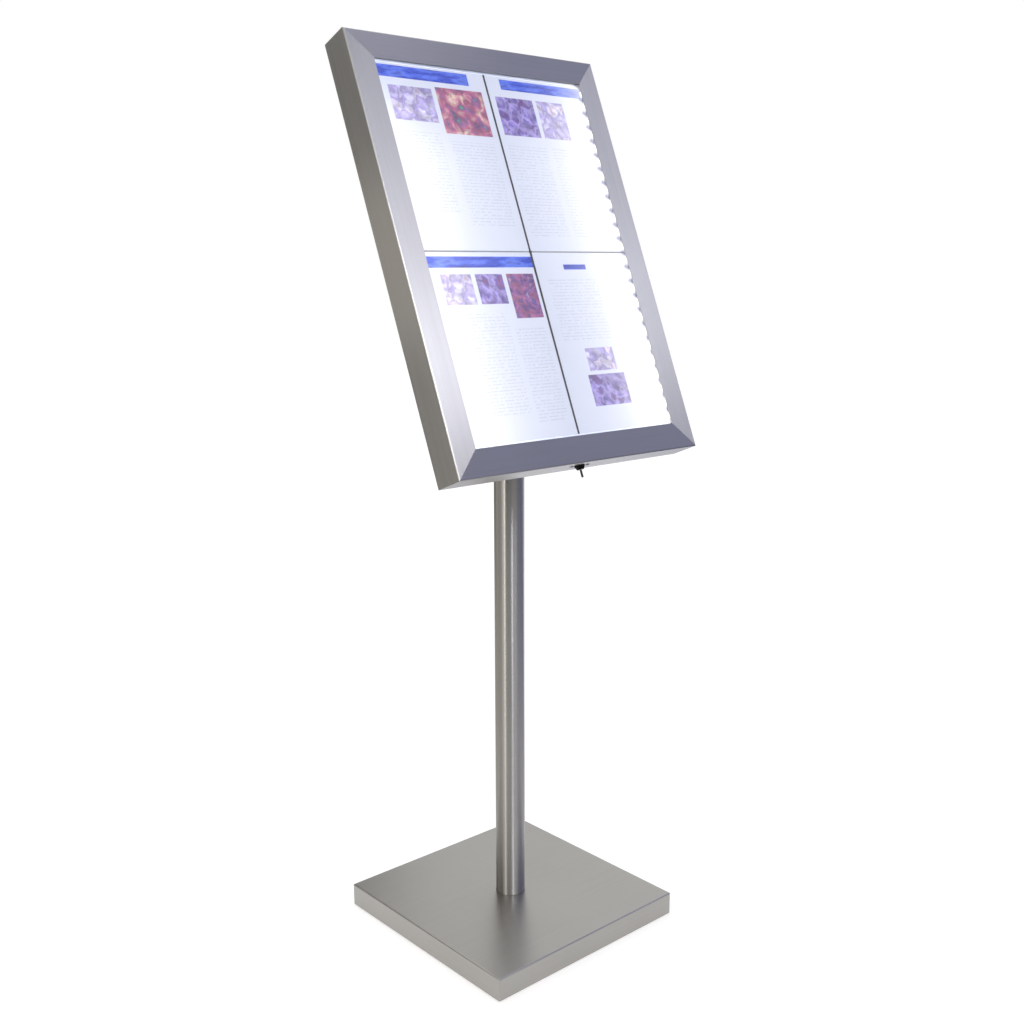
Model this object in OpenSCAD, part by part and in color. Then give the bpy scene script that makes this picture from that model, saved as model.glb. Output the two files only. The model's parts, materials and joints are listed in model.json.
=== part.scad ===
// Free-standing illuminated poster case: a lockable, top-hinged light box on a post with a weighted base.
// Millimetres, +Z up. The origin is on the floor on the post's axis, and the case faces -Y.

/* [Sheets on show] */
// Width of one sheet
page_w = 210; // [180:1:260]
// Height of one sheet
page_h = 297; // [250:1:360]
// Thickness of one sheet
page_t = 0.4; // [0.2:0.1:0.8]
// Gap between the left and right sheets
page_gap_x = 2.4; // [2:0.1:6]
// Gap between the upper and lower sheets
page_gap_y = 1.6; // [1.4:0.1:6]
// Bare margin left and right of the sheets
side_margin = 0.8; // [0.4:0.1:10]
// Bare margin above and below the sheets
end_margin = 3.2; // [0.4:0.1:10]
// Width of the upright divider's face
upright_w = 3.6; // [3.4:0.1:8]
// Width of the cross divider's face
cross_w = 2.2; // [2:0.1:8]
// Thickness of a divider's face
divider_t = 0.6; // [0.4:0.1:0.7]
// Radius of the round boss where the dividers cross
divider_boss_r = 3; // [2.5:0.1:5]

/* [Case] */
// Depth of the case from back to front
case_d = 52; // [50:1:80]
// Width of the frame's face
face_w = 43; // [38:1:60]
// Thickness of the frame's and the back panel's sheet steel
case_sheet = 1.5; // [1:0.1:2]
// Inside bend radius of the folded sheet
bend_in = 0.8; // [0.5:0.1:2]
// Lean of the case, back from upright
tilt = 22; // [16:1:32]
// Height of the back panel's centre above the floor
centre_h = 1129; // [1000:1:1300]
// Distance of the back panel's centre in front of the post's axis
setback = 8; // [0:0.5:16]
// Height of the back panel's folded edge
flange_h = 14; // [10:1:15]

/* [Glazing] */
// Thickness of the clear pane
pane_t = 3; // [2:0.5:4]
// Lap of the pane behind the frame's face
pane_lap = 14; // [10:1:18]
// Thickness of the foam tape between the pane and the frame
tape_t = 0.5; // [0.3:0.1:1]
// Width of the foam tape
tape_w = 10; // [5:1:10]
// Space between the sheets and the pane
page_play = 0.9; // [0.9:0.1:3]
// Thickness of a glazing clip
clip_t = 1.5; // [1:0.1:2]
// Length of a glazing clip along the frame
clip_l = 16; // [12:1:30]
// Lap of a glazing clip over the pane's edge
clip_lap = 4; // [2:0.5:6]
// Length of a glazing clip's foot on the frame
clip_foot = 14; // [12:1:16]
// Spacing of the glazing clips
clip_pitch = 200; // [120:1:210]
// Diameter of the clips' weld studs
stud_d = 4; // [3:0.5:5]
// Length of the clips' weld studs
stud_l = 8; // [7:0.5:9]
// Size across the flats of the studs' nuts
stud_nut_af = 7; // [6:0.5:8]
// Height of the studs' nuts
stud_nut_h = 3.2; // [2:0.2:4]

/* [Light] */
// Thickness of the edge-lit light panel
panel_t = 7; // [5:0.5:10]
// Thickness of the support plate behind the light panel
support_t = 1.5; // [1:0.1:3]
// Distance from the frame's opening to the side rails
led_bay = 5; // [4.6:0.1:9]
// Distance from the frame's opening to the end rails
end_bay = 0.5; // [0.5:0.1:4]
// Sheet thickness of the rails
rail_sheet = 1.5; // [1:0.1:2]
// Width of the rails' feet
rail_foot = 10; // [9:0.5:12]
// Width of the side rails' ledge under the support plate
ledge_w = 12; // [8:0.5:20]
// Distance from the side rails' ledge to the end rails
ledge_stop = 16; // [14:1:40]
// Thickness of an LED strip
strip_t = 1.2; // [0.8:0.1:1.6]
// Width of an LED strip
strip_w = 8; // [6:0.5:8]
// Distance from an LED strip's end to the end rails
strip_stop = 11; // [10:0.5:13]
// Spacing of the LEDs
led_pitch = 25; // [12:1:50]
// Side of an LED
led_size = 5; // [3:0.5:6]
// Height of an LED
led_t = 1.6; // [1:0.1:2]
// Gap between the LEDs and the light panel's edge
led_gap = 1.2; // [0.5:0.1:2]

/* [Hinge] */
// Length of the hinge
hinge_len = 440; // [300:1:450]
// Number of knuckles, an odd number
knuckle_count = 11; // [7:2:21]
// Outside diameter of the hinge's barrel
barrel_d = 5.2; // [4.6:0.1:5.4]
// Diameter of the hinge pin
pin_d = 2.5; // [2:0.1:3]
// Diameter of the hinge pin's heads
pin_head_d = 4.4; // [3.4:0.1:5]
// Thickness of the hinge pin's heads
pin_head_t = 1; // [0.6:0.1:2]
// Thickness of a hinge leaf
leaf_t = 1; // [0.8:0.1:1.4]
// Width of a hinge leaf
leaf_w = 10; // [6:0.5:10]
// Gap between the hinge leaves
leaf_gap = 0.6; // [0.4:0.1:1]

/* [Lock] */
// Distance of the lock's axis behind the frame's face
lock_setback = 21; // [19:0.5:23]
// Diameter of the lock's outside head
lock_head_d = 17; // [15:0.5:19]
// Height of the lock's outside head
lock_head_t = 6.5; // [5:0.5:9]
// Thickness of the flange at the foot of the head
lock_flange_t = 2.5; // [1.5:0.5:4]
// Diameter of the head's nose, below its taper
lock_nose_d = 12.5; // [12:0.5:14.5]
// Diameter of the lock's barrel
lock_barrel_d = 14; // [12.5:0.5:14.5]
// Length of the lock's barrel
lock_len = 18; // [14:0.5:18]
// Diameter of the lock's plug
plug_d = 10; // [9:0.5:11]
// Diameter of the plug's shank that carries the cam
shank_d = 6; // [5:0.5:7]
// Size across the flats of the lock's nut
lock_nut_af = 20; // [18:0.5:21]
// Height of the lock's nut
lock_nut_h = 5; // [3:0.5:6]
// Length of the stiffening plate inside the frame
lock_plate_l = 52; // [46:1:70]
// Width of the stiffening plate
lock_plate_w = 22; // [20:1:24]
// Thickness of the stiffening plate
lock_plate_t = 2; // [1.5:0.1:2.5]
// Distance of the plate's rivets from the lock's axis
lock_rivet_x = 17.5; // [17:0.5:20]
// Height of those rivets' outside heads
lock_rivet_h = 2.2; // [0.8:0.1:3]
// Thickness of the cam
cam_t = 2; // [1.5:0.1:3]
// Reach of the cam from the lock's axis
cam_reach = 24; // [22:0.5:25]
// Width of the cam's arm
cam_w = 12; // [11:0.5:14]
// Size across the flats of the cam's nut
cam_nut_af = 10; // [9:0.5:12]
// Height of the cam's nut
cam_nut_h = 4; // [3:0.5:5]
// Thickness of the key's blade
key_t = 1.8; // [1.4:0.1:2.2]
// Width of the key's blade
key_w = 7; // [5:0.5:7]
// Depth of the key's blade in the plug
key_depth = 14; // [10:0.5:15]
// Diameter of the key's bow
bow_d = 11; // [10:0.5:20]
// Thickness of the key's bow
bow_t = 3.4; // [2.5:0.1:5]
// Turn of the key's slot from the cam's arm
slot_turn = -45; // [-90:5:90]
// Sheet thickness of the keeper
keeper_t = 1.5; // [1:0.1:3]
// Width of the keeper
keeper_w = 18; // [14:1:24]
// Distance of the keeper from the lock's axis
keeper_x = 13; // [12.5:0.5:15]
// Length of the keeper's foot
keeper_foot = 12; // [10:0.5:12]

/* [Post] */
// Outside diameter of the post
post_d = 50.8; // [42:0.1:54]
// Wall thickness of the post
post_wall = 2; // [1.5:0.1:4]
// Height of the solid plug in the post's foot
plug_h = 30; // [24:1:60]
// Diameter of the bolts in the post's foot
foot_bolt_d = 8; // [6:0.5:8]
// Radius of the circle of bolts in the post's foot
foot_bolt_r = 13; // [10:0.5:13]
// Reach of the bolts into the post's foot
foot_bolt_reach = 18; // [12:1:20]
// Thickness of the post's plastic cap
cap_t = 3; // [2:0.5:6]
// Length of the cap's spigot in the post
cap_spigot = 10; // [6:1:12]
// Space between the cap and the case's back
cap_clear = 8; // [4:1:20]

/* [Bracket] */
// Thickness of the brackets
bracket_t = 4; // [3:0.5:6]
// Width of a bracket's flange
bracket_w = 50; // [40:1:60]
// Height of a bracket's cheek
cheek_h = 107; // [90:1:130]
// Distance from a cheek's top edge to the post's top
cheek_drop = 4; // [2:1:10]
// Reach of a cheek behind the post's axis
cheek_back = 20; // [16:1:28]
// Reach of a bracket's flange above the back panel's centre
bracket_rise = 60; // [50:1:120]
// Distance of the bolts from the brackets' ends
bolt_inset = 24; // [20:1:30]
// Diameter of the bolts
bolt_d = 8; // [6:0.5:10]
// Size across the flats of the bolts' heads and nuts
bolt_af = 13; // [12:0.5:16]
// Height of the bolts' heads
bolt_head_h = 5.5; // [4:0.5:7]
// Height of the bolts' nuts
bolt_nut_h = 6.5; // [5:0.5:8]

/* [Base] */
// Side of the square base
base_side = 400; // [380:5:500]
// Height of the folded base cover
cover_h = 38; // [34:1:60]
// Sheet thickness of the base cover
cover_sheet = 1.5; // [1:0.1:2.5]
// Gap between the cover's skirt and the floor
skirt_gap = 2; // [1:0.5:4]
// Gap between the ballast plate and the cover's skirt
ballast_gap = 0.8; // [0.5:0.1:2]
// Thickness of the steel ballast plate
ballast_t = 10; // [8:1:14]
// Thickness of a rubber foot
foot_t = 5; // [4.5:0.5:8]
// Diameter of a rubber foot
foot_d = 36; // [28:1:44]
// Distance of a foot's axis from the base's edges
foot_inset = 40; // [30:1:60]
// Distance of the cover's bosses from the post's axis
boss_reach = 150; // [80:1:165]
// Diameter of the cover's bosses
boss_d = 14; // [12:0.5:20]
// Diameter of the base's screws
base_screw_d = 5; // [4:0.5:6]
// Reach of the base's screws past their seats
base_screw_l = 16; // [13:0.5:18]
// Diameter of the base's screw heads
base_head_d = 9; // [8:0.5:12]
// Height of the base's screw heads
base_head_h = 3; // [2:0.5:3.5]

/* [Supply] */
// Distance of the service line from the opening's left edge
service_inset = 72; // [60:1:90]
// Height of the cable gland's axis above the opening's lower edge
inlet_rise = 40; // [36:1:60]
// Diameter of the gland's thread
gland_d = 16; // [12:0.5:20]
// Radius of the gland's bore
gland_bore_r = 3.5; // [2:0.1:5]
// Size across the flats of the gland
gland_af = 20; // [18:0.5:24]
// Reach of the gland behind the back panel
gland_reach = 16; // [12:1:24]
// Height of the gland's hexagon
gland_hex_h = 6; // [4:0.5:8]
// Diameter of the gland's dome
gland_dome_d = 18; // [14:0.5:18]
// Reach of the gland's thread into the case
gland_thread = 10; // [8:0.5:14]
// Height of the gland's nut
gland_nut_h = 5; // [3:0.5:6]
// Length and width of the terminal block
terminal_l = 16; // [12:1:20]
// Height of the terminal block
terminal_h = 12; // [8:1:18]
// Distance from the gland's axis to the terminal block's middle
terminal_rise = 30; // [26:1:34]
// Distance from the terminal block's middle to the switch's middle
switch_rise = 40; // [36:1:50]
// Width of the switch's body
switch_w = 13; // [12:0.5:16]
// Length of the switch's body
switch_l = 19; // [18:0.5:24]
// Depth of the switch's body in the case
switch_d = 20; // [14:0.5:24]
// Rim of the switch's bezel around its body
bezel_rim = 1.5; // [1:0.1:3]
// Thickness of the switch's bezel
bezel_t = 2; // [1.5:0.1:3]
// Wall of the switch's body around the rocker
switch_wall = 1.5; // [1:0.1:1.6]
// Tilt of the rocker to either side
rock = 8; // [4:1:10]
// Diameter of the rocker's pivot
pivot_d = 3; // [2:0.1:3.4]
// Depth of the rocker's pivot in the case
pivot_z = 3; // [2.6:0.1:4]
// Distance from the switch's middle to the driver's near end
driver_rise = 50; // [44:1:60]
// Width of the LED driver
driver_w = 42; // [36:1:60]
// Length of the LED driver's body
driver_l = 140; // [110:1:150]
// Height of the LED driver
driver_h = 22; // [14:1:24]
// Length of the LED driver's fixing tabs
tab_l = 12; // [10:1:14]
// Thickness of the LED driver's fixing tabs
tab_t = 2; // [1:0.5:4]
// Diameter of the driver's screws
driver_screw_d = 4; // [3:0.5:5]
// Diameter of the driver's screw heads
driver_head_d = 7; // [6:0.5:9]
// Height of the driver's screw heads
driver_head_h = 2.4; // [1.5:0.1:3]
// Diameter of the inner wires
wire_d = 1.6; // [1.2:0.1:2]

/* [Fasteners and clearances] */
// Diameter of the rivets
rivet_d = 4; // [3:0.2:4.8]
// Diameter of the rivets' heads
rivet_head_d = 7; // [6:0.2:8]
// Height of the rivets' heads
rivet_head_h = 1.2; // [0.8:0.1:2]
// Spacing of the rails' rivets
rivet_pitch = 140; // [100:1:170]
// Radial clearance of a thread, a press fit or a running fit
fit = 0.05; // [0.02:0.01:0.1]
// Radial clearance of a bolt or a barrel in its hole
hole_fit = 0.2; // [0.1:0.05:0.4]
// Clearance between parts that pass each other
run_gap = 0.3; // [0.2:0.05:0.5]

/* [Hidden] */
$fn = 64;
over = 1;                     // how far a cutting shape stands past the face it cuts

// The frame's opening follows the sheets, and the case follows the opening
pages_w = 2 * page_w + page_gap_x;
pages_h = 2 * page_h + page_gap_y;
open_w = pages_w + 2 * side_margin;
open_h = pages_h + 2 * end_margin;
case_w = open_w + 2 * face_w;
case_h = open_h + 2 * face_w;

// The hinge's leaves lie in the gap between the frame's top wall and the back panel's folded edge
hinge_gap = 2 * leaf_t + leaf_gap;
back_w = case_w - 2 * (case_sheet + hinge_gap);
back_h = case_h - 2 * (case_sheet + hinge_gap);
hinge_y = back_h / 2 + hinge_gap / 2;
hinge_z = -(barrel_d / 2 + run_gap);
knuckle_l = hinge_len / knuckle_count;

// Depths in the case, measured from the back panel's rear face towards the front
face_back = case_d - case_sheet;
pane_back = face_back - tape_t - pane_t;
page_front = pane_back - page_play;
page_back = page_front - page_t;
page_seat = 0.2;              // play between a sheet and the light panel
panel_front = page_back - page_seat;
panel_back = panel_front - panel_t;
panel_mid = panel_back + panel_t / 2;
support_back = panel_back - support_t;
ledge_back = support_back - rail_sheet;
rail_front = page_front;

// The light panel lies between the LEDs, and the support plate has the same width
end_play = 2;                 // the light panel's room to grow at its ends
support_play = 0.5;           // the support plate's room at its ends
panel_w = open_w + 2 * (led_bay - strip_t - led_t - led_gap);
panel_h = open_h + 2 * (end_bay - end_play);
support_h = open_h + 2 * (end_bay - support_play);
rail_half = open_h / 2 + end_bay;
strip_half = rail_half - strip_stop;
led_count = floor((2 * strip_half - led_size) / led_pitch) + 1;
side_edge = open_w / 2;
end_edge = open_h / 2;

// Divider stems stand between the sheets with the same play as the sheets have on the panel
upright_stem = page_gap_x - 2 * page_seat;
cross_stem = page_gap_y - 2 * page_seat;
divider_gap = 0.1;            // play under a divider's face

// Glazing clips, measured outwards from the opening's edge
clip_riser = pane_lap + clip_t;
stud_o = clip_riser + clip_foot / 2 + clip_t / 2;
side_clips = [-clip_pitch, 0, clip_pitch];
end_clips = [-clip_pitch / 2, clip_pitch / 2];

// The lock's parts, measured inwards from the frame's lower face along the lock's axis
lock_z = case_d - lock_setback;
lock_plate_in = case_sheet + lock_plate_t;
plug_proud = 0.6;             // how far the plug stands out of the lock's head
cam_in = lock_len + 2 * run_gap;
cam_out = cam_in + cam_t;
shank_end = cam_out + cam_nut_h + over;
slot_play = 0.1;              // play of the key's blade in the plug
keeper_gap = 1;               // play between the cam and the keeper
keeper_in = cam_out + keeper_gap;
lug_z = lock_z + cam_w / 2 + 2 * keeper_gap;
lug_drop = cam_t + 2 * keeper_gap + keeper_gap;
bow_neck = 1;                 // length of the key's neck between its shoulder and its bow
bow_reach = bow_d / 2 + bow_neck;
hub_rim = 1;                  // how far the cam's hub stands past its arm

// The post ends under the case's back, and the brackets' cheeks stand beside it
post_r = post_d / 2;
post_bore_r = post_r - post_wall;
ballast_top = foot_t + ballast_t;
cover_top = skirt_gap + cover_h;
post_top = centre_h + (setback - post_r) / tan(tilt) - cap_t - cap_clear;
cheek_x = post_r + hole_fit;
cheek_top = post_top - cheek_drop;
cheek_low = cheek_top - cheek_h;
bracket_low = (cheek_low - centre_h) / cos(tilt);
bracket_bolt_x = cheek_x + (bracket_t + bracket_w) / 2;
bracket_bolt_y = [bracket_low + bolt_inset, bracket_rise - bolt_inset];
cross_bolt_z = [cheek_low + bolt_inset, cheek_top - bolt_inset];
bolt_tip = 2;                 // how far a bolt stands out of its nut

// The base's screws: four hold the feet, and four hold the cover's bosses down
foot_at = base_side / 2 - foot_inset;
ballast_side = base_side - 2 * (cover_sheet + ballast_gap);
seat_in_foot = foot_t - 2;    // height of a foot's screw seat, 2 mm of rubber above it
head_play = 0.5;              // space round and under a screw's head
foot_head_h = 4;              // height of a countersunk bolt's cone in the ballast plate
cover_bend = 1;               // inside bend radius of the cover's edges

// The supply's parts stand in one line on the back panel
service_x = -(side_edge - service_inset);
gland_y = -end_edge + inlet_rise;
terminal_y = gland_y + terminal_rise;
switch_y = terminal_y + switch_rise;
driver_low = switch_y + driver_rise;
driver_top = driver_low + driver_l;
driver_screw_y = [driver_low - tab_l / 2, driver_top + tab_l / 2];

// Inner wires: from the terminal block through the switch to the driver, and on to both LED strips
wire_z = case_sheet + driver_h / 2;
wire_lift = 5;                // height of a wire's run over the parts that it joins
wire_bend = 1.8;
wire_sides = 8;
wire_offset = 3;              // distance of a wire's end from its terminal's middle
wire_spread = 8;              // distance of the strips' wires from the driver's middle
wire_inset = 11;              // distance of their upright runs from the opening's edge
wire_rise = 4;                // height of their turn to the strips, above the strips' ends
strip_wire_x = side_edge + led_bay - wire_d / 2 - fit;
strip_wire_y = strip_half + wire_rise;
hop_z = max(switch_d, case_sheet + terminal_h) + wire_lift;
end_hop = tab_l + wire_lift;  // a wire's run past the driver's tab
wire_routes = [
  [
    [service_x, terminal_y, case_sheet + terminal_h],
    [service_x, terminal_y, hop_z],
    [service_x, switch_y - wire_offset, hop_z],
    [service_x, switch_y - wire_offset, switch_d]
  ],
  [
    [service_x, switch_y + wire_offset, switch_d],
    [service_x, switch_y + wire_offset, hop_z],
    [service_x, driver_low - end_hop, hop_z],
    [service_x, driver_low - end_hop, wire_z],
    [service_x, driver_low, wire_z]
  ],
  for (side = [-1, 1]) [
    [service_x + side * wire_spread, driver_top, wire_z],
    [service_x + side * wire_spread, driver_top + end_hop + side * wire_lift, wire_z],
    [side * (side_edge - wire_inset), driver_top + end_hop + side * wire_lift, wire_z],
    [side * (side_edge - wire_inset), strip_wire_y, wire_z],
    [side * strip_wire_x, strip_wire_y, wire_z],
    [side * strip_wire_x, strip_wire_y, panel_mid],
    [side * strip_wire_x, strip_half, panel_mid]
  ]
];

// Rivets of the rails' feet and of the keeper, as x and y on the back panel
side_rivet_x = side_edge + led_bay + rail_sheet + rail_foot / 2;
end_rivet_y = end_edge + end_bay + rail_sheet + rail_foot / 2;
side_rivets = [for (i = [-1.5 : 1.5]) i * rivet_pitch];
end_rivets = [for (i = [-1 : 1]) i * rivet_pitch];
rail_rivet_at = [
  for (side = [-1, 1], along = side_rivets) [side * side_rivet_x, along],
  for (side = [-1, 1], along = end_rivets) [along, side * end_rivet_y]
];
keeper_rivet_at = [keeper_x + keeper_w / 2, -case_h / 2 + keeper_in - keeper_foot / 2];

// Places a shape in the case: x across, y up the case and z from the back panel's rear face to the front
module at_case() {
  translate([0, -setback, centre_h]) rotate([90 - tilt, 0, 0]) children();
}

// Places a shape at one side of the opening: x along the edge, y outwards from it.
// The sides are 0 top, 1 left, 2 bottom and 3 right
module at_side(side) {
  edge = side % 2 == 0 ? end_edge : side_edge;
  rotate([0, 0, 90 * side]) translate([0, edge, 0]) children();
}

// Places a shape on the lock's axis: z inwards from the frame's lower face, y towards the case's back
module at_lock() {
  translate([0, -case_h / 2, lock_z]) rotate([-90, 0, 0]) children();
}

// A plate centred on x and y, standing on z = 0
module slab(w, h, t) {
  translate([-w / 2, -h / 2, 0]) cube([w, h, t]);
}

// A box whose outline runs along x, from a section drawn in y and z
module along_x(length) {
  rotate([90, 0, 90]) linear_extrude(length, center = true) children();
}

module disc(d, t) {
  cylinder(d = d, h = t);
}

// A bolt whose head is below z = 0 and whose shank stands on it
module bolt(d, length, head_d, head_h, sides) {
  cylinder(d = d, h = length);
  translate([0, 0, -head_h]) cylinder(d = head_d, h = head_h, $fn = sides);
}

module hex_nut(across, height, d) {
  difference() {
    cylinder(d = across / cos(30), h = height, $fn = 6);
    translate([0, 0, -over]) cylinder(d = d + 2 * fit, h = height + 2 * over);
  }
}

// A closed rivet through sheets from z = 0 to z = grip
module rivet(grip, out_h = rivet_head_h) {
  cylinder(d = rivet_d, h = grip);
  translate([0, 0, grip]) disc(rivet_head_d, rivet_head_h);
  translate([0, 0, -out_h]) disc(rivet_head_d, out_h);
}

module hole(d, depth) {
  translate([0, 0, -over]) cylinder(d = d, h = depth + 2 * over);
}

// A square box with rounded top and upright edges
module folded_box(side, height, r) {
  intersection() {
    along_x(side + 2 * over) folded_end(side, height, r);
    rotate([0, 0, 90]) along_x(side + 2 * over) folded_end(side, height, r);
    linear_extrude(height) rounded_square(side, r);
  }
}

module folded_end(side, height, r) {
  translate([-side / 2, 0]) square([side, height - r]);
  translate([-side / 2 + r, 0]) square([side - 2 * r, height]);
  for (end = [-1, 1]) translate([end * (side / 2 - r), height - r]) circle(r);
}

module rounded_square(side, r) {
  square([side, side - 2 * r], center = true);
  square([side - 2 * r, side], center = true);
  for (x = [-1, 1], y = [-1, 1]) translate([x, y] * (side / 2 - r)) circle(r);
}

// Four places at the same distances from the post's axis
module at_feet() {
  for (x = [-1, 1], y = [-1, 1]) translate([x * foot_at, y * foot_at, 0]) children();
}

module at_bosses() {
  for (turn = [0 : 90 : 270]) rotate([0, 0, turn]) translate([boss_reach, 0, 0]) children();
}

module at_foot_bolts() {
  for (turn = [0 : 120 : 240]) rotate([0, 0, turn]) translate([0, foot_bolt_r, 0]) children();
}

// Base
module base_cover() {
  boss_h = cover_top - cover_sheet - ballast_top;
  color("silver") difference() {
    union() {
      difference() {
        translate([0, 0, skirt_gap]) folded_box(base_side, cover_h, cover_bend + cover_sheet);
        translate([0, 0, skirt_gap - over])
          folded_box(base_side - 2 * cover_sheet, cover_h - cover_sheet + over, cover_bend);
      }
      at_bosses() translate([0, 0, ballast_top]) disc(boss_d, boss_h + cover_sheet / 2);
    }
    translate([0, 0, ballast_top]) hole(post_d + 4 * hole_fit, cover_h);
    at_bosses() translate([0, 0, ballast_top])
      hole(base_screw_d + 2 * fit, base_screw_l - ballast_t + base_head_h);
  }
}

module ballast_plate() {
  color("dimgray") translate([0, 0, foot_t]) difference() {
    slab(ballast_side, ballast_side, ballast_t);
    at_feet() hole(base_screw_d + 2 * fit, ballast_t);
    at_bosses() hole(base_screw_d + 2 * hole_fit, ballast_t);
    at_bosses() hole(base_head_d + 2 * head_play, base_head_h + head_play - over);
    at_foot_bolts() hole(foot_bolt_d + 2 * hole_fit, ballast_t);
    at_foot_bolts() cylinder(r1 = foot_bolt_d + hole_fit, r2 = foot_bolt_d / 2 + hole_fit, h = foot_head_h);
  }
}

module rubber_feet() {
  color("black") at_feet() difference() {
    disc(foot_d, foot_t);
    hole(base_screw_d + 2 * hole_fit, foot_t);
    hole(base_head_d + 2 * head_play, seat_in_foot - over);
  }
}

module base_screws() {
  color("lightgray") {
    at_feet() translate([0, 0, seat_in_foot])
      bolt(base_screw_d, ballast_top - seat_in_foot, base_head_d, seat_in_foot - head_play, 64);
    at_bosses() translate([0, 0, foot_t + base_head_h + head_play])
      bolt(base_screw_d, base_screw_l, base_head_d, base_head_h, 64);
  }
}

// Post
module post_tube() {
  color("silver") difference() {
    translate([0, 0, ballast_top]) cylinder(r = post_r, h = post_top - ballast_top);
    translate([0, 0, ballast_top - over]) cylinder(r = post_bore_r, h = post_top - ballast_top + 2 * over);
    for (z = cross_bolt_z) translate([0, 0, z]) rotate([0, 90, 0])
      cylinder(d = bolt_d + 2 * hole_fit, h = 2 * post_d, center = true);
  }
}

module post_plug() {
  color("gray") translate([0, 0, ballast_top]) difference() {
    cylinder(r = post_bore_r - fit, h = plug_h);
    at_foot_bolts() hole(foot_bolt_d + 2 * fit, foot_bolt_reach);
  }
}

module post_bolts() {
  color("lightgray") translate([0, 0, foot_t]) at_foot_bolts() {
    cylinder(r1 = foot_bolt_d, r2 = foot_bolt_d / 2, h = foot_head_h);
    cylinder(d = foot_bolt_d, h = ballast_t + foot_bolt_reach);
  }
}

module post_cap() {
  color("black") translate([0, 0, post_top]) {
    disc(post_d, cap_t);
    translate([0, 0, -cap_spigot]) cylinder(r = post_bore_r - fit, h = cap_spigot);
  }
}

// A folded bracket: a flange on the case's back and a cheek beside the post
module bracket() {
  difference() {
    union() {
      translate([cheek_x + bracket_t / 2, 0, 0]) along_x(bracket_t) polygon([
        [cheek_back, cheek_low],
        [cheek_back, cheek_top],
        [plane_y(cheek_top), cheek_top],
        [plane_y(cheek_low), cheek_low]
      ]);
      at_case() translate([cheek_x, bracket_low, -bracket_t])
        cube([bracket_w, bracket_rise - bracket_low, bracket_t]);
    }
    at_case() for (y = bracket_bolt_y) translate([bracket_bolt_x, y, -bracket_t])
      hole(bolt_d + 2 * hole_fit, bracket_t);
    for (z = cross_bolt_z) translate([cheek_x - over, 0, z]) rotate([0, 90, 0])
      cylinder(d = bolt_d + 2 * hole_fit, h = bracket_t + 2 * over);
  }
}

// Where the case's back is at a height above the floor
function plane_y(z) = -setback + (z - centre_h) * tan(tilt);

module bracket_right() {
  color("silver") bracket();
}

module bracket_left() {
  color("silver") mirror([1, 0, 0]) bracket();
}

module cross_bolts() {
  cheek_out = cheek_x + bracket_t;
  color("lightgray") for (z = cross_bolt_z) translate([-cheek_out, 0, z]) rotate([0, 90, 0])
    bolt(bolt_d, 2 * cheek_out + bolt_nut_h + bolt_tip, bolt_af / cos(30), bolt_head_h, 6);
}

module bracket_bolts() {
  color("lightgray") at_case() for (x = [-1, 1], y = bracket_bolt_y)
    translate([x * bracket_bolt_x, y, -bracket_t])
      bolt(bolt_d, bracket_t + case_sheet + bolt_nut_h + bolt_tip, bolt_af / cos(30), bolt_head_h, 6);
}

module bracket_nuts() {
  color("gray") {
    at_case() for (x = [-1, 1], y = bracket_bolt_y) translate([x * bracket_bolt_x, y, case_sheet])
      hex_nut(bolt_af, bolt_nut_h, bolt_d);
    for (z = cross_bolt_z) translate([cheek_x + bracket_t, 0, z]) rotate([0, 90, 0])
      hex_nut(bolt_af, bolt_nut_h, bolt_d);
  }
}

// Back of the case
module back_panel() {
  color("silver") at_case() difference() {
    slab(back_w, back_h, flange_h);
    translate([0, 0, case_sheet]) slab(back_w - 2 * case_sheet, back_h - 2 * case_sheet, flange_h);
    for (x = [-1, 1], y = bracket_bolt_y) translate([x * bracket_bolt_x, y, 0])
      hole(bolt_d + 2 * hole_fit, case_sheet);
    for (at = [each rail_rivet_at, keeper_rivet_at]) translate(at) hole(rivet_d + 2 * fit, case_sheet);
    for (y = driver_screw_y) translate([service_x, y, 0]) hole(driver_screw_d + 2 * fit, case_sheet);
    translate([service_x, gland_y, 0]) hole(gland_d + 2 * hole_fit, case_sheet);
    translate([service_x, switch_y, -over])
      slab(switch_w + 2 * fit, switch_l + 2 * fit, case_sheet + 2 * over);
  }
}

module panel_rivets() {
  color("lightgray") at_case() {
    for (at = rail_rivet_at) translate(at) rivet(case_sheet + rail_sheet);
    translate(keeper_rivet_at) rivet(case_sheet + keeper_t);
  }
}

// A rail's wall and foot, along one side of the opening
module rail(half, bay) {
  difference() {
    union() {
      translate([-half, bay, case_sheet]) cube([2 * half, rail_sheet, rail_front - case_sheet]);
      translate([-half, bay, case_sheet]) cube([2 * half, rail_sheet + rail_foot, rail_sheet]);
    }
    children();
  }
}

module side_rail() {
  ledge_half = rail_half - ledge_stop;
  rail(rail_half + rail_sheet, led_bay)
    for (along = side_rivets) translate([along, side_rivet_x - side_edge, case_sheet])
      hole(rivet_d + 2 * fit, rail_sheet);
  translate([-ledge_half, led_bay - ledge_w, ledge_back]) cube([2 * ledge_half, ledge_w, rail_sheet]);
}

module end_rail() {
  rail(side_edge + led_bay, end_bay)
    for (along = end_rivets) translate([along, end_rivet_y - end_edge, case_sheet])
      hole(rivet_d + 2 * fit, rail_sheet);
}

module rail_top() {
  color("white") at_case() at_side(0) end_rail();
}

module rail_left() {
  color("white") at_case() at_side(1) side_rail();
}

module rail_bottom() {
  color("white") at_case() at_side(2) end_rail();
}

module rail_right() {
  color("white") at_case() at_side(3) side_rail();
}

// Light
module support_plate() {
  color("white") at_case() translate([0, 0, support_back]) slab(panel_w, support_h, support_t);
}

module light_panel() {
  color("aliceblue") at_case() translate([0, 0, panel_back]) slab(panel_w, panel_h, panel_t);
}

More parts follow.
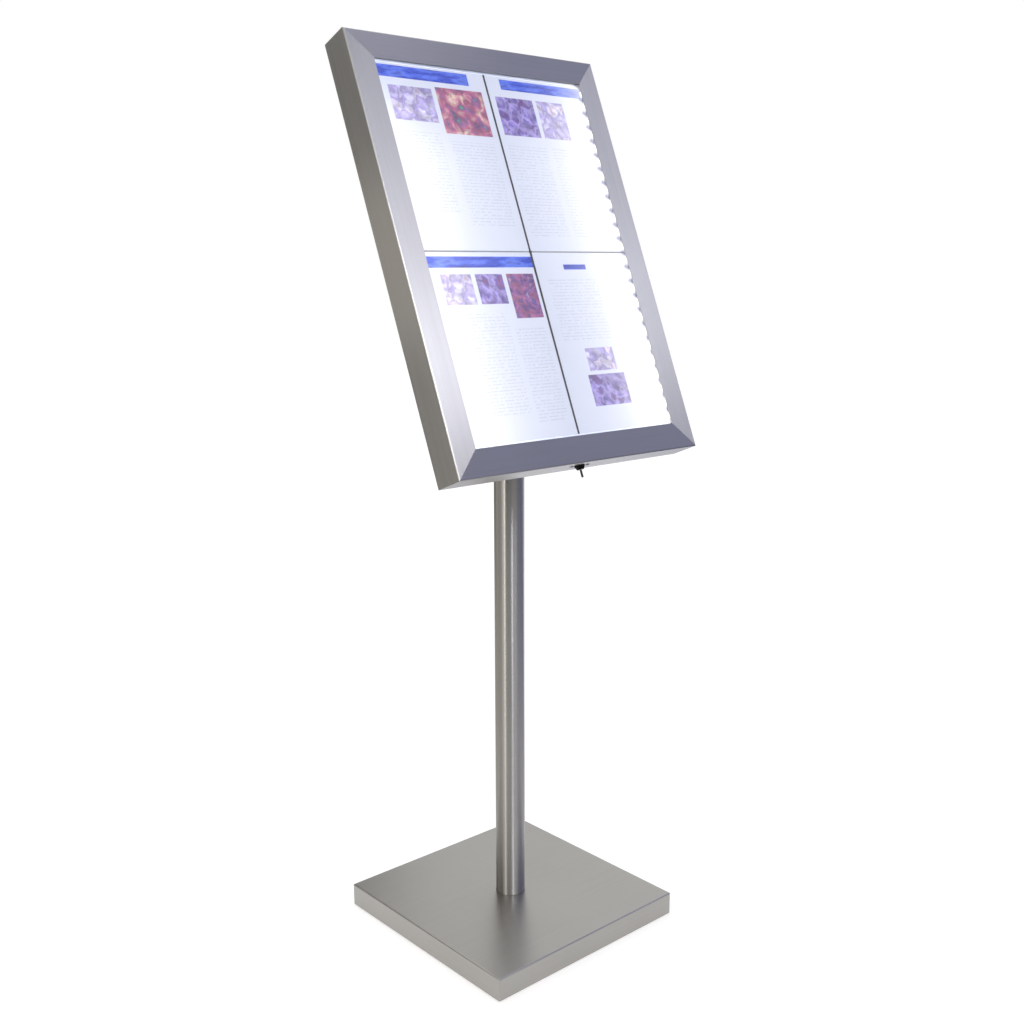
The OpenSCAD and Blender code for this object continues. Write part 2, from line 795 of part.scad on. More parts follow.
module led_strips() {
  color("whitesmoke") at_case() for (side = [1, 3]) at_side(side)
    translate([-strip_half, led_bay - strip_t, panel_mid - strip_w / 2])
      cube([2 * strip_half, strip_t, strip_w]);
}

module led_chips() {
  chip_y = led_bay - strip_t - led_t;
  chip_z = panel_mid - led_size / 2;
  color("ivory") at_case() for (side = [1, 3], i = [0 : led_count - 1]) at_side(side)
    translate([(i - (led_count - 1) / 2) * led_pitch - led_size / 2, chip_y, chip_z])
      cube([led_size, led_t, led_size]);
}

// Sheets, two across and two down
module page(across, up) {
  color("white") at_case()
    translate([across * (page_w + page_gap_x) / 2, up * (page_h + page_gap_y) / 2, page_back])
      slab(page_w, page_h, page_t);
}

module page_upper_left() {
  page(-1, 1);
}

module page_upper_right() {
  page(1, 1);
}

module page_lower_left() {
  page(-1, -1);
}

module page_lower_right() {
  page(1, -1);
}

// A divider of T section, whose face holds the sheets' edges
module divider(length, stem, width) {
  translate([0, 0, panel_front]) slab(stem, length, page_front + divider_gap + divider_t - panel_front);
  translate([0, 0, page_front + divider_gap]) slab(width, length, divider_t);
}

module divider_upright() {
  color("black") at_case() {
    divider(pages_h, upright_stem, upright_w);
    translate([0, 0, page_front + divider_gap]) cylinder(r = divider_boss_r, h = divider_t);
  }
}

module divider_cross() {
  start = max(divider_boss_r, upright_w / 2) + page_seat;
  length = pages_w / 2 - start;
  color("gray") at_case() for (side = [-1, 1]) translate([side * (start + length / 2), 0, 0])
    rotate([0, 0, 90]) divider(length, cross_stem, cross_w);
}

// Supply
module led_driver() {
  driver_mid = driver_low + driver_l / 2;
  color("darkslategray") at_case() translate([service_x, driver_mid, case_sheet]) difference() {
    union() {
      slab(driver_w, driver_l, driver_h);
      slab(driver_w, driver_l + 2 * tab_l, tab_t);
    }
    for (end = [-1, 1]) translate([0, end * (driver_l + tab_l) / 2, 0])
      hole(driver_screw_d + 2 * fit, tab_t);
  }
}

module driver_screws() {
  color("lightgray") at_case() for (y = driver_screw_y) translate([service_x, y, case_sheet + tab_t])
    mirror([0, 0, 1]) bolt(driver_screw_d, case_sheet + tab_t, driver_head_d, driver_head_h, 64);
}

module terminal_block() {
  color("ivory") at_case() translate([service_x, terminal_y, case_sheet])
    slab(terminal_l, terminal_l, terminal_h);
}

module cable_gland() {
  color("black") at_case() translate([service_x, gland_y, 0]) difference() {
    union() {
      translate([0, 0, -gland_reach]) disc(gland_dome_d, gland_reach);
      translate([0, 0, -gland_hex_h]) cylinder(d = gland_af / cos(30), h = gland_hex_h, $fn = 6);
      disc(gland_d, gland_thread);
    }
    translate([0, 0, -gland_reach]) hole(2 * gland_bore_r, gland_reach + gland_thread);
  }
}

module gland_nut() {
  color("black") at_case() translate([service_x, gland_y, case_sheet])
    hex_nut(gland_af, gland_nut_h, gland_d);
}

module switch_housing() {
  cavity_w = switch_w - 2 * switch_wall;
  cavity_l = switch_l - 2 * switch_wall;
  color("black") at_case() translate([service_x, switch_y, 0]) difference() {
    union() {
      slab(switch_w, switch_l, switch_d);
      translate([0, 0, -bezel_t]) slab(switch_w + 2 * bezel_rim, switch_l + 2 * bezel_rim, bezel_t);
    }
    translate([0, 0, -bezel_t - over]) slab(cavity_w, cavity_l, bezel_t + over + 2 * pivot_z + over);
    translate([0, 0, pivot_z]) rotate([0, 90, 0])
      cylinder(d = pivot_d + 2 * fit, h = switch_w + 2 * over, center = true);
  }
}

module switch_rocker() {
  cavity_w = switch_w - 2 * switch_wall;
  swing = 1.2;                // room for the rocker's ends to swing
  proud = 2;                  // how far the rocker's ends stand out of the bezel
  hollow = 1;                 // depth of the dip in the rocker's face, and draw of its ends
  half = switch_l / 2 - switch_wall - swing;
  face = -bezel_t - proud - pivot_z;
  color("firebrick") at_case() translate([service_x, switch_y, pivot_z]) rotate([rock, 0, 0]) {
    along_x(cavity_w - 2 * run_gap) polygon([
      [-half, face],
      [0, face + hollow],
      [half, face],
      [half - hollow, pivot_d / 2],
      [hollow - half, pivot_d / 2]
    ]);
    rotate([0, 90, 0]) cylinder(d = pivot_d, h = switch_w - 2 * run_gap, center = true);
  }
}

// Wires, as tubes swept along their routes with rounded corners
function unit(v) = v / norm(v);

function corner(p, i) =
  let (back = unit(p[i - 1] - p[i]), on = unit(p[i + 1] - p[i]))
  [p[i] + wire_bend * back, p[i] + wire_bend * (1 - sqrt(0.5)) * (back + on), p[i] + wire_bend * on];

function rounded_route(p) = [p[0], for (i = [1 : len(p) - 2]) each corner(p, i), p[len(p) - 1]];

function heading(p, i) =
  i == 0 ? unit(p[1] - p[0])
  : i == len(p) - 1 ? unit(p[i] - p[i - 1])
  : unit(unit(p[i + 1] - p[i]) + unit(p[i] - p[i - 1]));

function ring(p, i) =
  let (ahead = heading(p, i), side = unit(cross(ahead, [1, 2, 3])), up = cross(ahead, side))
  [for (k = [0 : wire_sides - 1])
    p[i] + wire_d / 2 * (cos(k * 360 / wire_sides) * side + sin(k * 360 / wire_sides) * up)];

module wire(route) {
  path = rounded_route(route);
  rings = len(path);
  polyhedron(
    points = [for (i = [0 : rings - 1]) each ring(path, i)],
    faces = [
      [for (k = [0 : wire_sides - 1]) k],
      for (i = [0 : rings - 2], k = [0 : wire_sides - 1])
        let (a = i * wire_sides + k, b = i * wire_sides + (k + 1) % wire_sides)
        each [[a, a + wire_sides, b], [b, a + wire_sides, b + wire_sides]],
      [for (k = [wire_sides - 1 : -1 : 0]) (rings - 1) * wire_sides + k]
    ]
  );
}

module wiring() {
  color("crimson") at_case() for (route = wire_routes) wire(route);
}

// Keeper behind which the lock's cam turns
module lock_keeper() {
  seat = -case_h / 2 + keeper_in;
  color("gray") at_case() difference() {
    translate([keeper_x, seat, 0]) {
      translate([0, 0, case_sheet]) cube([keeper_w, keeper_t, lug_z + keeper_t - case_sheet]);
      translate([0, -lug_drop, lug_z]) cube([keeper_w, lug_drop + keeper_t, keeper_t]);
      translate([0, -keeper_foot, case_sheet]) cube([keeper_w, keeper_foot + keeper_t, keeper_t]);
    }
    translate(keeper_rivet_at) translate([0, 0, case_sheet]) hole(rivet_d + 2 * fit, keeper_t);
  }
}

// A hinge leaf with every second knuckle, from the given first one. The leaf lies up or down from the pin
module hinge_leaf(first, up) {
  leaf_y = hinge_y + (up ? leaf_gap / 2 : -leaf_gap / 2 - leaf_t);
  difference() {
    union() {
      translate([-hinge_len / 2, leaf_y, 0]) cube([hinge_len, leaf_t, leaf_w]);
      for (i = [first : 2 : knuckle_count - 1])
        translate([-hinge_len / 2 + i * knuckle_l + run_gap / 2, 0, 0]) {
        translate([0, hinge_y, hinge_z]) rotate([0, 90, 0]) disc(barrel_d, knuckle_l - run_gap);
        translate([0, leaf_y, hinge_z]) cube([knuckle_l - run_gap, leaf_t, -hinge_z + leaf_w / 2]);
      }
    }
    translate([-hinge_len / 2, hinge_y, hinge_z]) rotate([0, 90, 0]) hole(pin_d + 2 * fit, hinge_len);
  }
}

module hinge_leaf_back() {
  color("lightgray") at_case() hinge_leaf(0, false);
}

module hinge_leaf_door() {
  color("lightgray") at_case() hinge_leaf(1, true);
}

module hinge_pin() {
  color("gray") at_case() translate([-hinge_len / 2, hinge_y, hinge_z]) rotate([0, 90, 0]) {
    disc(pin_d, hinge_len);
    translate([0, 0, -pin_head_t]) disc(pin_head_d, pin_head_t + run_gap / 2);
    translate([0, 0, hinge_len - run_gap / 2]) disc(pin_head_d, pin_head_t + run_gap / 2);
  }
}

// Door: a mitred frame of folded sheet, with the clear pane clipped behind its face
module frame_section() {
  r = bend_in + case_sheet;
  difference() {
    union() {
      translate([face_w - case_sheet, 0]) square([case_sheet, case_d - r]);
      translate([0, face_back]) square([face_w - r, case_sheet]);
      translate([face_w - r, case_d - r]) intersection() {
        circle(r);
        square(r);
      }
    }
    translate([face_w - r, case_d - r]) circle(bend_in);
  }
}

module frame_member(length, studs) {
  reach = length / 2 + face_w + over;
  intersection() {
    along_x(2 * reach) frame_section();
    translate([0, 0, -over]) linear_extrude(case_d + 2 * over) polygon([
      [over - length / 2, -over],
      [length / 2 - over, -over],
      [reach, face_w + over],
      [-reach, face_w + over]
    ]);
  }
  for (x = studs) translate([x, stud_o, face_back - stud_l])
    cylinder(d = stud_d, h = stud_l + case_sheet / 2);
}

module frame_top() {
  color("silver") at_case() at_side(0) frame_member(open_w, end_clips);
}

module frame_left() {
  color("silver") at_case() at_side(1) frame_member(open_h, side_clips);
}

module frame_bottom() {
  color("silver") at_case() difference() {
    at_side(2) frame_member(open_w, end_clips);
    at_lock() hole(lock_barrel_d + 2 * hole_fit, case_sheet);
    at_lock() for (x = [-1, 1]) translate([x * lock_rivet_x, 0, 0]) hole(rivet_d + 2 * fit, case_sheet);
  }
}

module frame_right() {
  color("silver") at_case() at_side(3) frame_member(open_h, side_clips);
}

module glazing_pane() {
  color("lightcyan", 0.3) at_case() translate([0, 0, pane_back])
    slab(open_w + 2 * pane_lap, open_h + 2 * pane_lap, pane_t);
}

module glazing_tape() {
  color("black") at_case() translate([0, 0, pane_back + pane_t]) difference() {
    slab(open_w + 2 * pane_lap, open_h + 2 * pane_lap, tape_t);
    translate([0, 0, -over])
      slab(open_w + 2 * (pane_lap - tape_w), open_h + 2 * (pane_lap - tape_w), tape_t + 2 * over);
  }
}

// The places of the glazing clips' middles, along each side of the opening
module at_clips() {
  for (side = [0 : 3], x = side % 2 == 0 ? end_clips : side_clips)
    at_side(side) translate([x, 0, 0]) children();
}

module glazing_clips() {
  color("lightgray") at_case() at_clips() difference() {
    translate([-clip_l / 2, 0, 0]) {
      translate([0, clip_riser, face_back - clip_t]) cube([clip_l, clip_t + clip_foot, clip_t]);
      translate([0, clip_riser, pane_back - clip_t]) cube([clip_l, clip_t, face_back - pane_back + clip_t]);
      translate([0, pane_lap - clip_lap, pane_back - clip_t]) cube([clip_l, clip_lap + 2 * clip_t, clip_t]);
    }
    translate([0, stud_o, face_back - clip_t]) hole(stud_d + 2 * hole_fit, clip_t);
  }
}

module clip_nuts() {
  color("gray") at_case() at_clips() translate([0, stud_o, face_back - clip_t - stud_nut_h])
    hex_nut(stud_nut_af, stud_nut_h, stud_d);
}

// Lock
module lock_body() {
  color("black") at_case() at_lock() difference() {
    union() {
      translate([0, 0, -lock_flange_t]) disc(lock_head_d, lock_flange_t);
      translate([0, 0, -lock_head_t])
        cylinder(d1 = lock_nose_d, d2 = lock_head_d, h = lock_head_t - lock_flange_t);
      disc(lock_barrel_d, lock_len);
    }
    translate([0, 0, -lock_head_t]) hole(plug_d + 2 * fit, lock_head_t + lock_len);
  }
}

module lock_plate() {
  color("lightgray") at_case() at_lock() translate([0, 0, case_sheet]) difference() {
    slab(lock_plate_l, lock_plate_w, lock_plate_t);
    hole(lock_barrel_d + 2 * hole_fit, lock_plate_t);
    for (x = [-1, 1]) translate([x * lock_rivet_x, 0, 0]) hole(rivet_d + 2 * fit, lock_plate_t);
  }
}

module lock_rivets() {
  color("lightgray") at_case() at_lock() for (x = [-1, 1]) translate([x * lock_rivet_x, 0, 0])
    rivet(lock_plate_in, lock_rivet_h);
}

module lock_nut() {
  color("gray") at_case() at_lock() translate([0, 0, lock_plate_in])
    hex_nut(lock_nut_af, lock_nut_h, lock_barrel_d);
}

module lock_plug() {
  proud = lock_head_t + plug_proud;
  color("gold") at_case() at_lock() difference() {
    union() {
      translate([0, 0, -proud]) disc(plug_d, proud + cam_in);
      disc(shank_d, shank_end);
    }
    rotate([0, 0, slot_turn]) translate([0, 0, -proud - over])
      slab(key_t + 2 * slot_play, key_w + 2 * slot_play, key_depth + over + slot_play);
  }
}

module lock_cam() {
  color("lightgray") at_case() at_lock() translate([0, 0, cam_in]) difference() {
    union() {
      disc(cam_w + 2 * hub_rim, cam_t);
      translate([-cam_w / 2, 0, 0]) cube([cam_w, cam_reach - cam_w / 2, cam_t]);
      translate([0, cam_reach - cam_w / 2, 0]) disc(cam_w, cam_t);
    }
    hole(shank_d + 2 * fit, cam_t);
  }
}

module cam_nut() {
  color("gray") at_case() at_lock() translate([0, 0, cam_out]) hex_nut(cam_nut_af, cam_nut_h, shank_d);
}

module key() {
  shoulder = lock_head_t + plug_proud + run_gap;
  color("black") at_case() at_lock() rotate([0, 0, slot_turn]) translate([0, 0, -shoulder]) {
    slab(key_t, key_w, key_depth + run_gap);
    translate([0, 0, -bow_reach]) rotate([0, 90, 0]) cylinder(d = bow_d, h = bow_t, center = true);
    translate([0, 0, -bow_reach]) slab(bow_t, key_w, bow_reach);
  }
}

base_cover();
ballast_plate();
rubber_feet();
base_screws();
post_tube();
post_plug();
post_bolts();
post_cap();
bracket_left();
bracket_right();
cross_bolts();
bracket_bolts();
bracket_nuts();
back_panel();
panel_rivets();
rail_left();
rail_right();
rail_top();
rail_bottom();
support_plate();
light_panel();
led_strips();
led_chips();
page_upper_left();
page_upper_right();
page_lower_left();
page_lower_right();
divider_upright();
divider_cross();
led_driver();
driver_screws();
terminal_block();
cable_gland();
gland_nut();
switch_housing();
wiring();
lock_keeper();
hinge_leaf_back();
hinge_pin();
hinge_leaf_door();
frame_top();
frame_left();
frame_bottom();
frame_right();
glazing_pane();
glazing_tape();
glazing_clips();
clip_nuts();
lock_body();
lock_nut();
lock_plate();
lock_rivets();
lock_plug();
lock_cam();
cam_nut();
key();
switch_rocker();
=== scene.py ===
import json
import math

import bmesh
import bpy
from mathutils import Matrix, Vector


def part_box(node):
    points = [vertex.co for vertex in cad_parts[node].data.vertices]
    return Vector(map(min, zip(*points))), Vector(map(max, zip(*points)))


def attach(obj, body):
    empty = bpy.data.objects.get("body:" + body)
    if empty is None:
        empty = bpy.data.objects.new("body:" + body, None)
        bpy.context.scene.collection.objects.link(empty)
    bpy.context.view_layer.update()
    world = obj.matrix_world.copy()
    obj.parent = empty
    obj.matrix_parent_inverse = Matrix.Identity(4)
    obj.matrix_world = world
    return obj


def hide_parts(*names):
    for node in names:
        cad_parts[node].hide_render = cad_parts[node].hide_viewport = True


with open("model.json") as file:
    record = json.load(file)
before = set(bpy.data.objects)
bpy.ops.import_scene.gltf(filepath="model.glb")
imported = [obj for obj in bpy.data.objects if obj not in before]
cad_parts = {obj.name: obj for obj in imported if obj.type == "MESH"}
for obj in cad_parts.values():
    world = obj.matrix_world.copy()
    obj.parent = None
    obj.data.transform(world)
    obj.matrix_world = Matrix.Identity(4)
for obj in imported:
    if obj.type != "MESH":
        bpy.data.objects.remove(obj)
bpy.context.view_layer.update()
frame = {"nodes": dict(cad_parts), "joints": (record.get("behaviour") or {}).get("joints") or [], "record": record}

nodes = frame["nodes"]
slotOf = {name: part.data.materials[0].name for name, part in nodes.items()}
bodyOf = {name: body for body, members in frame["record"]["behaviour"]["bodies"].items() for name in members}
print("frame loaded:", len(nodes), "nodes")

# The case's own axes: x across, y up the leaning case, z out of its face, from the middle of the pane
lockAxis = next(joint["axis"] for joint in frame["joints"] if joint["name"] == "lock_turn")
caseUp = -Vector(lockAxis).normalized()
caseTurn = math.atan2(caseUp.z, caseUp.y)
paneLow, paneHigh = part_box("glazing_pane")
paneMid = (paneLow + paneHigh) / 2
caseToWorld = Matrix.Translation(paneMid) @ Matrix.Rotation(caseTurn, 4, "X")
worldToCase = caseToWorld.inverted()


def cornersOf(points):
    # the lowest and the highest corner
    return tuple(Vector(pick(point[i] for point in points) for i in range(3)) for pick in (min, max))


def caseBox(name):
    # corners of a node along the case's own axes
    return cornersOf([worldToCase @ vertex.co for vertex in nodes[name].data.vertices])


openX = -caseBox("frame_left")[1].x  # half the frame's opening


# Camera
photoCamera = {
    "place": (-1.307655, -1.48593, 1.12469),
    "azimuth": -41.486,
    "elevation": 11.467,
    "roll": -0.193,
    "lens": 42.573,
}


def placeCamera(look):
    azimuth, elevation, roll = (math.radians(look[key]) for key in ("azimuth", "elevation", "roll"))
    back = Vector((
        math.sin(azimuth) * math.cos(elevation),
        -math.cos(azimuth) * math.cos(elevation),
        math.sin(elevation),
    ))
    level = Vector((0, 0, 1)).cross(back).normalized()
    upright = back.cross(level)
    right = math.cos(roll) * level + math.sin(roll) * upright
    up = math.cos(roll) * upright - math.sin(roll) * level
    data = bpy.data.cameras.new("photoCamera")
    data.lens = look["lens"]
    data.sensor_width = 36
    camera = bpy.data.objects.new("photoCamera", data)
    bpy.context.scene.collection.objects.link(camera)
    camera.matrix_world = Matrix.Translation(look["place"]) @ Matrix((right, up, back)).transposed().to_4x4()
    bpy.context.scene.camera = camera


placeCamera(photoCamera)
print("camera placed")


# Node helpers
def addNode(tree, kind, sockets=None, **settings):
    # a socket is given by name or number, as a value or as the output that feeds it
    made = tree.nodes.new("ShaderNode" + kind)
    for name, value in settings.items():
        setattr(made, name, value)
    for key, value in (sockets or {}).items():
        if isinstance(value, bpy.types.NodeSocket):
            tree.links.new(value, made.inputs[key])
        else:
            made.inputs[key].default_value = value
    return made


def calc(tree, operation, a, b=0.0, clamp=False, c=0.0):
    return addNode(tree, "Math", {0: a, 1: b, 2: c}, operation=operation, use_clamp=clamp).outputs[0]


def stretch(tree, value, fromLow, fromHigh, toLow=0.0, toHigh=1.0, smooth=False):
    kind = "SMOOTHSTEP" if smooth else "LINEAR"
    sockets = {0: value, 1: fromLow, 2: fromHigh, 3: toLow, 4: toHigh}
    return addNode(tree, "MapRange", sockets, interpolation_type=kind).outputs[0]


noiseSpan = (0.3, 0.7)  # where most of a noise's values lie


def fromNoise(tree, value, toLow=0.0, toHigh=1.0):
    return stretch(tree, value, *noiseSpan, toLow, toHigh)


def scaled(tree, vector, factor):
    return addNode(tree, "VectorMath", {0: vector, "Scale": factor}, operation="SCALE").outputs[0]


def blendColours(tree, share, a, b, kind="MIX"):
    return addNode(tree, "Mix", {0: share, 6: a, 7: b}, data_type="RGBA", blend_type=kind).outputs[2]


def objectPlace(tree):
    return addNode(tree, "TexCoord").outputs["Object"]


def mapped(tree, place, **sockets):
    kind = sockets.pop("kind", "POINT")
    return addNode(tree, "Mapping", {"Vector": place, **sockets}, vector_type=kind).outputs[0]


def casePlace(tree):
    return mapped(tree, objectPlace(tree), kind="TEXTURE", Location=paneMid, Rotation=(caseTurn, 0, 0))


def noise(tree, place, scale, detail=2.0, roughness=0.5):
    sockets = {"Vector": place, "Scale": scale, "Detail": detail, "Roughness": roughness}
    return addNode(tree, "TexNoise", sockets).outputs[0]


def bump(tree, height, strength, distance):
    return addNode(tree, "Bump", {"Height": height, "Strength": strength, "Distance": distance}).outputs[0]


def screen(code):
    # a colour as it is read off a screen, made linear
    values = [int(code[i:i + 2], 16) / 255 for i in (0, 2, 4)]
    return tuple(v / 12.92 if v < 0.04045 else ((v + 0.055) / 1.055) ** 2.4 for v in values) + (1.0,)


def startMaterial(name, **sockets):
    material = bpy.data.materials.new(name)
    material.use_nodes = True
    tree = material.node_tree
    tree.nodes.clear()
    shader = addNode(tree, "BsdfPrincipled", sockets)
    addNode(tree, "OutputMaterial", {0: shader.outputs[0]})
    return material, tree, shader


def feed(tree, shader, **sockets):
    names = {"colour": "Base Color", "roughness": "Roughness", "normal": "Normal", "glow": "Emission Color",
             "tangent": "Tangent"}
    for name, output in sockets.items():
        tree.links.new(output, shader.inputs[names[name]])


# Brushed stainless sheet and tube
brushedLook = {
    "dark": screen("a09e9a"),
    "light": screen("aba9a5"),
    # roughness and spread of the highlights across the brush lines
    "case": ((0.34, 0.40), 0.9),
    "base": ((0.30, 0.36), 0.4),
    "tube": ((0.32, 0.38), 1.0),
    "along": 4.0,  # streaks per metre along the brush lines
    "across": 900.0,  # and across them
    "fine": 3000.0,
    "clouds": 7.0,
    "relief": 0.03,
}


def brushedSteel(name, part, grain):
    # grain is the axis of the brush lines, and the tube is brushed round its upright axis
    look = brushedLook
    rough, spread = look[part]
    onCase, tube = part == "case", part == "tube"
    material, tree, shader = startMaterial(name, Metallic=1.0, Anisotropic=spread)
    place = casePlace(tree) if onCase else objectPlace(tree)
    scales = [look["across"]] * 3
    fine = [look["fine"]] * 3
    for axis in range(3):
        if (axis != grain) if tube else (axis == grain):
            scales[axis] = look["along"]
            fine[axis] = look["along"] * 4
    wide = noise(tree, mapped(tree, place, Scale=[s / 4 for s in scales]), 1.0, 3.0)
    streak = noise(tree, mapped(tree, place, Scale=scales), 1.0, 4.0, 0.6)
    hair = noise(tree, mapped(tree, place, Scale=fine), 1.0, 2.0)
    cloud = noise(tree, place, look["clouds"], 3.0)
    tone = calc(tree, "MULTIPLY", streak, 0.5)
    for layer, share in ((wide, 0.2), (cloud, 0.3)):
        tone = calc(tree, "ADD", tone, calc(tree, "MULTIPLY", layer, share))
    tone = stretch(tree, tone, 0.32, 0.68)
    feed(tree, shader, colour=blendColours(tree, tone, look["dark"], look["light"]),
         roughness=fromNoise(tree, streak, *rough),
         normal=bump(tree, hair, look["relief"], 0.0002))
    lines = [0.0, 0.0, 0.0]
    lines[grain] = 1.0
    lineWay = caseToWorld.to_3x3() @ Vector(lines) if onCase else Vector(lines)
    way = addNode(tree, "CombineXYZ", dict(enumerate(lineWay)))
    way = addNode(tree, "VectorTransform", {0: way.outputs[0]}, vector_type="VECTOR",
                  convert_from="OBJECT", convert_to="WORLD").outputs[0]
    if not tube:  # highlights spread across the brush lines, in the plane of the sheet
        face = addNode(tree, "NewGeometry").outputs["Normal"]
        way = addNode(tree, "VectorMath", {0: way, 1: face}, operation="CROSS_PRODUCT").outputs[0]
        way = addNode(tree, "VectorMath", {0: way, 1: (0, 0.001, 0)}, operation="ADD").outputs[0]
    feed(tree, shader, tangent=way)
    return material


# Metals without brush lines: dark and light tone, roughness, grain and relief
metalLooks = {
    "plainSteel": ("989a9c", "a6a8aa", (0.36, 0.46), 150, 0.03),
    "zincPlate": ("93969b", "b7babd", (0.28, 0.45), 320, 0.05),
    "rawSteel": ("3a3734", "57534f", (0.5, 0.75), 70, 0.15),
    "blackMetal": ("151516", "222224", (0.3, 0.42), 900, 0.06),
    "plugNickel": ("4c4945", "6b6762", (0.25, 0.4), 700, 0.05),
}


def plainMetal(name):
    dark, light, rough, grain, relief = metalLooks[name]
    material, tree, shader = startMaterial(name, Metallic=1.0)
    place = objectPlace(tree)
    cloud = noise(tree, place, grain, 5.0, 0.6)
    speck = noise(tree, place, grain * 14, 2.0)
    feed(tree, shader,
         colour=blendColours(tree, fromNoise(tree, cloud), screen(dark), screen(light)),
         roughness=fromNoise(tree, cloud, *rough),
         normal=bump(tree, speck, relief, 0.0003))
    return material


# Plastics, rubber, paint and foam, by the same values
softLooks = {
    "footRubber": ("131313", "232322", (0.7, 0.9), 600, 0.2),
    "foamTape": ("111112", "262628", (0.85, 1.0), 1800, 0.5),
    "blackPlastic": ("121213", "1f1f21", (0.38, 0.5), 2400, 0.12),
    "greyPlastic": ("a3a8b2", "b4b9c2", (0.4, 0.5), 2400, 0.1),
    "whitePaint": ("dcdddf", "ebecee", (0.38, 0.5), 900, 0.12),
    "driverCase": ("34373a", "44474b", (0.4, 0.55), 1500, 0.15),
    "terminalPlastic": ("d8d4c6", "e8e5da", (0.35, 0.5), 1500, 0.1),
    "wireJacket": ("8e1d22", "b02a2e", (0.4, 0.55), 1200, 0.08),
    "rockerPlastic": ("7f1a1c", "9c2426", (0.25, 0.35), 2400, 0.05),
}


def moulded(name):
    dark, light, rough, grain, relief = softLooks[name]
    material, tree, shader = startMaterial(name)
    place = objectPlace(tree)
    cloud = noise(tree, place, grain / 20, 4.0)
    pores = noise(tree, place, grain, 2.0)
    feed(tree, shader,
         colour=blendColours(tree, fromNoise(tree, cloud), screen(dark), screen(light)),
         roughness=fromNoise(tree, pores, *rough),
         normal=bump(tree, pores, relief, 0.0002))
    return material


rockerMarks = {
    "tone": screen("e4e4e0"),
    "offset": 0.0034,
    "bar": (0.0003, 0.0014),
    "ring": 0.0012,
    "line": 0.0003,
}


def markRocker(material):
    # a bar and a ring on the rocker's two ends, for on and off
    tree = material.node_tree
    low, high = caseBox("switch_rocker")
    middle = (low + high) / 2
    axes = addNode(tree, "SeparateXYZ", {0: casePlace(tree)}).outputs
    across = calc(tree, "SUBTRACT", axes[0], middle.x)
    on = calc(tree, "SUBTRACT", axes[1], middle.y + rockerMarks["offset"])
    off = calc(tree, "SUBTRACT", axes[1], middle.y - rockerMarks["offset"])
    halves = zip((across, on), rockerMarks["bar"])
    wide, tall = (calc(tree, "COMPARE", value, c=half) for value, half in halves)
    bar = calc(tree, "MULTIPLY", wide, tall)
    away = addNode(tree, "VectorMath", {0: addNode(tree, "CombineXYZ", {0: across, 1: off}).outputs[0]},
                   operation="LENGTH").outputs["Value"]
    ring = calc(tree, "COMPARE", away, rockerMarks["ring"], c=rockerMarks["line"])
    paint = next(link for link in tree.links if link.to_socket.name == "Base Color")
    marked = blendColours(tree, calc(tree, "MAXIMUM", bar, ring), paint.from_socket, rockerMarks["tone"])
    tree.links.new(marked, paint.to_socket)


# Light inside the case: LEDs at both sides, which send their light into the edges of the panel
lightLook = {
    "cool": screen("dfe5fb"),
    "white": screen("ffffff"),
    "level": 0.92,  # brightness in the middle of the panel
    "edge": 0.95,  # added at the lit edges
    "reach": 0.08,  # how far the edges' light carries
    "fade": (0.12, 0.29),  # heights between which the edges' light falls off to the upper end
    "upperShare": (0.12, 0.6),  # what is left of it there, from the middle to the right edge
    "haze": (0.08, 0.6),  # how much the left and right edges' light washes out a print
    "pitch": 0.025,
    "brightest": 1.12,  # of a print's lit colour
    "tooth": 0.0122,  # reach of the shade between two LEDs' pools of light
    "toothLeast": 0.3,  # share of that reach at the lower end
    "toothFade": (-0.18, -0.04),  # heights between which it grows to the whole
    "toothPool": 0.7,
    "toothTone": screen("b6b6d2"),
    "toothEdge": 0.002,
}
stripX = max(abs(corner.x) for corner in caseBox("led_strips"))


def panelLight(tree):
    # edge light at a place on the panel, from 0 to 1, strongest beside the middle of the LED rows
    along = addNode(tree, "SeparateXYZ", {0: casePlace(tree)})
    inset = calc(tree, "SUBTRACT", openX, calc(tree, "ABSOLUTE", along.outputs[0]))
    fall = calc(tree, "EXPONENT", calc(tree, "DIVIDE", inset, -lightLook["reach"]))
    left = stretch(tree, along.outputs[0], 0.0, openX, *lightLook["upperShare"])
    upper = stretch(tree, along.outputs[1], *lightLook["fade"], 1.0, left, True)
    return calc(tree, "MULTIPLY", fall, upper, True)


def ledPool(tree):
    # 1 over an LED, 0 midway between two
    along = addNode(tree, "SeparateXYZ", {0: casePlace(tree)}).outputs[1]
    step = calc(tree, "PINGPONG", calc(tree, "ADD", along, lightLook["pitch"] / 2), lightLook["pitch"] / 2)
    return stretch(tree, step, 0.0, lightLook["pitch"] / 2, 1.0, 0.0)


def edgeTeeth(tree):
    # the shaded teeth along the right edge, from 0 to 1
    along = addNode(tree, "SeparateXYZ", {0: casePlace(tree)}).outputs
    inset = calc(tree, "SUBTRACT", stripX, along[0])
    dark = stretch(tree, ledPool(tree), 0.0, lightLook["toothPool"], 1.0, 0.0, True)
    tooth, edge = lightLook["tooth"], lightLook["toothEdge"]
    longest = stretch(tree, along[1], *lightLook["toothFade"], lightLook["toothLeast"] * tooth, tooth)
    reach = calc(tree, "MULTIPLY", dark, longest)
    return stretch(tree, calc(tree, "SUBTRACT", reach, inset), -edge, edge)


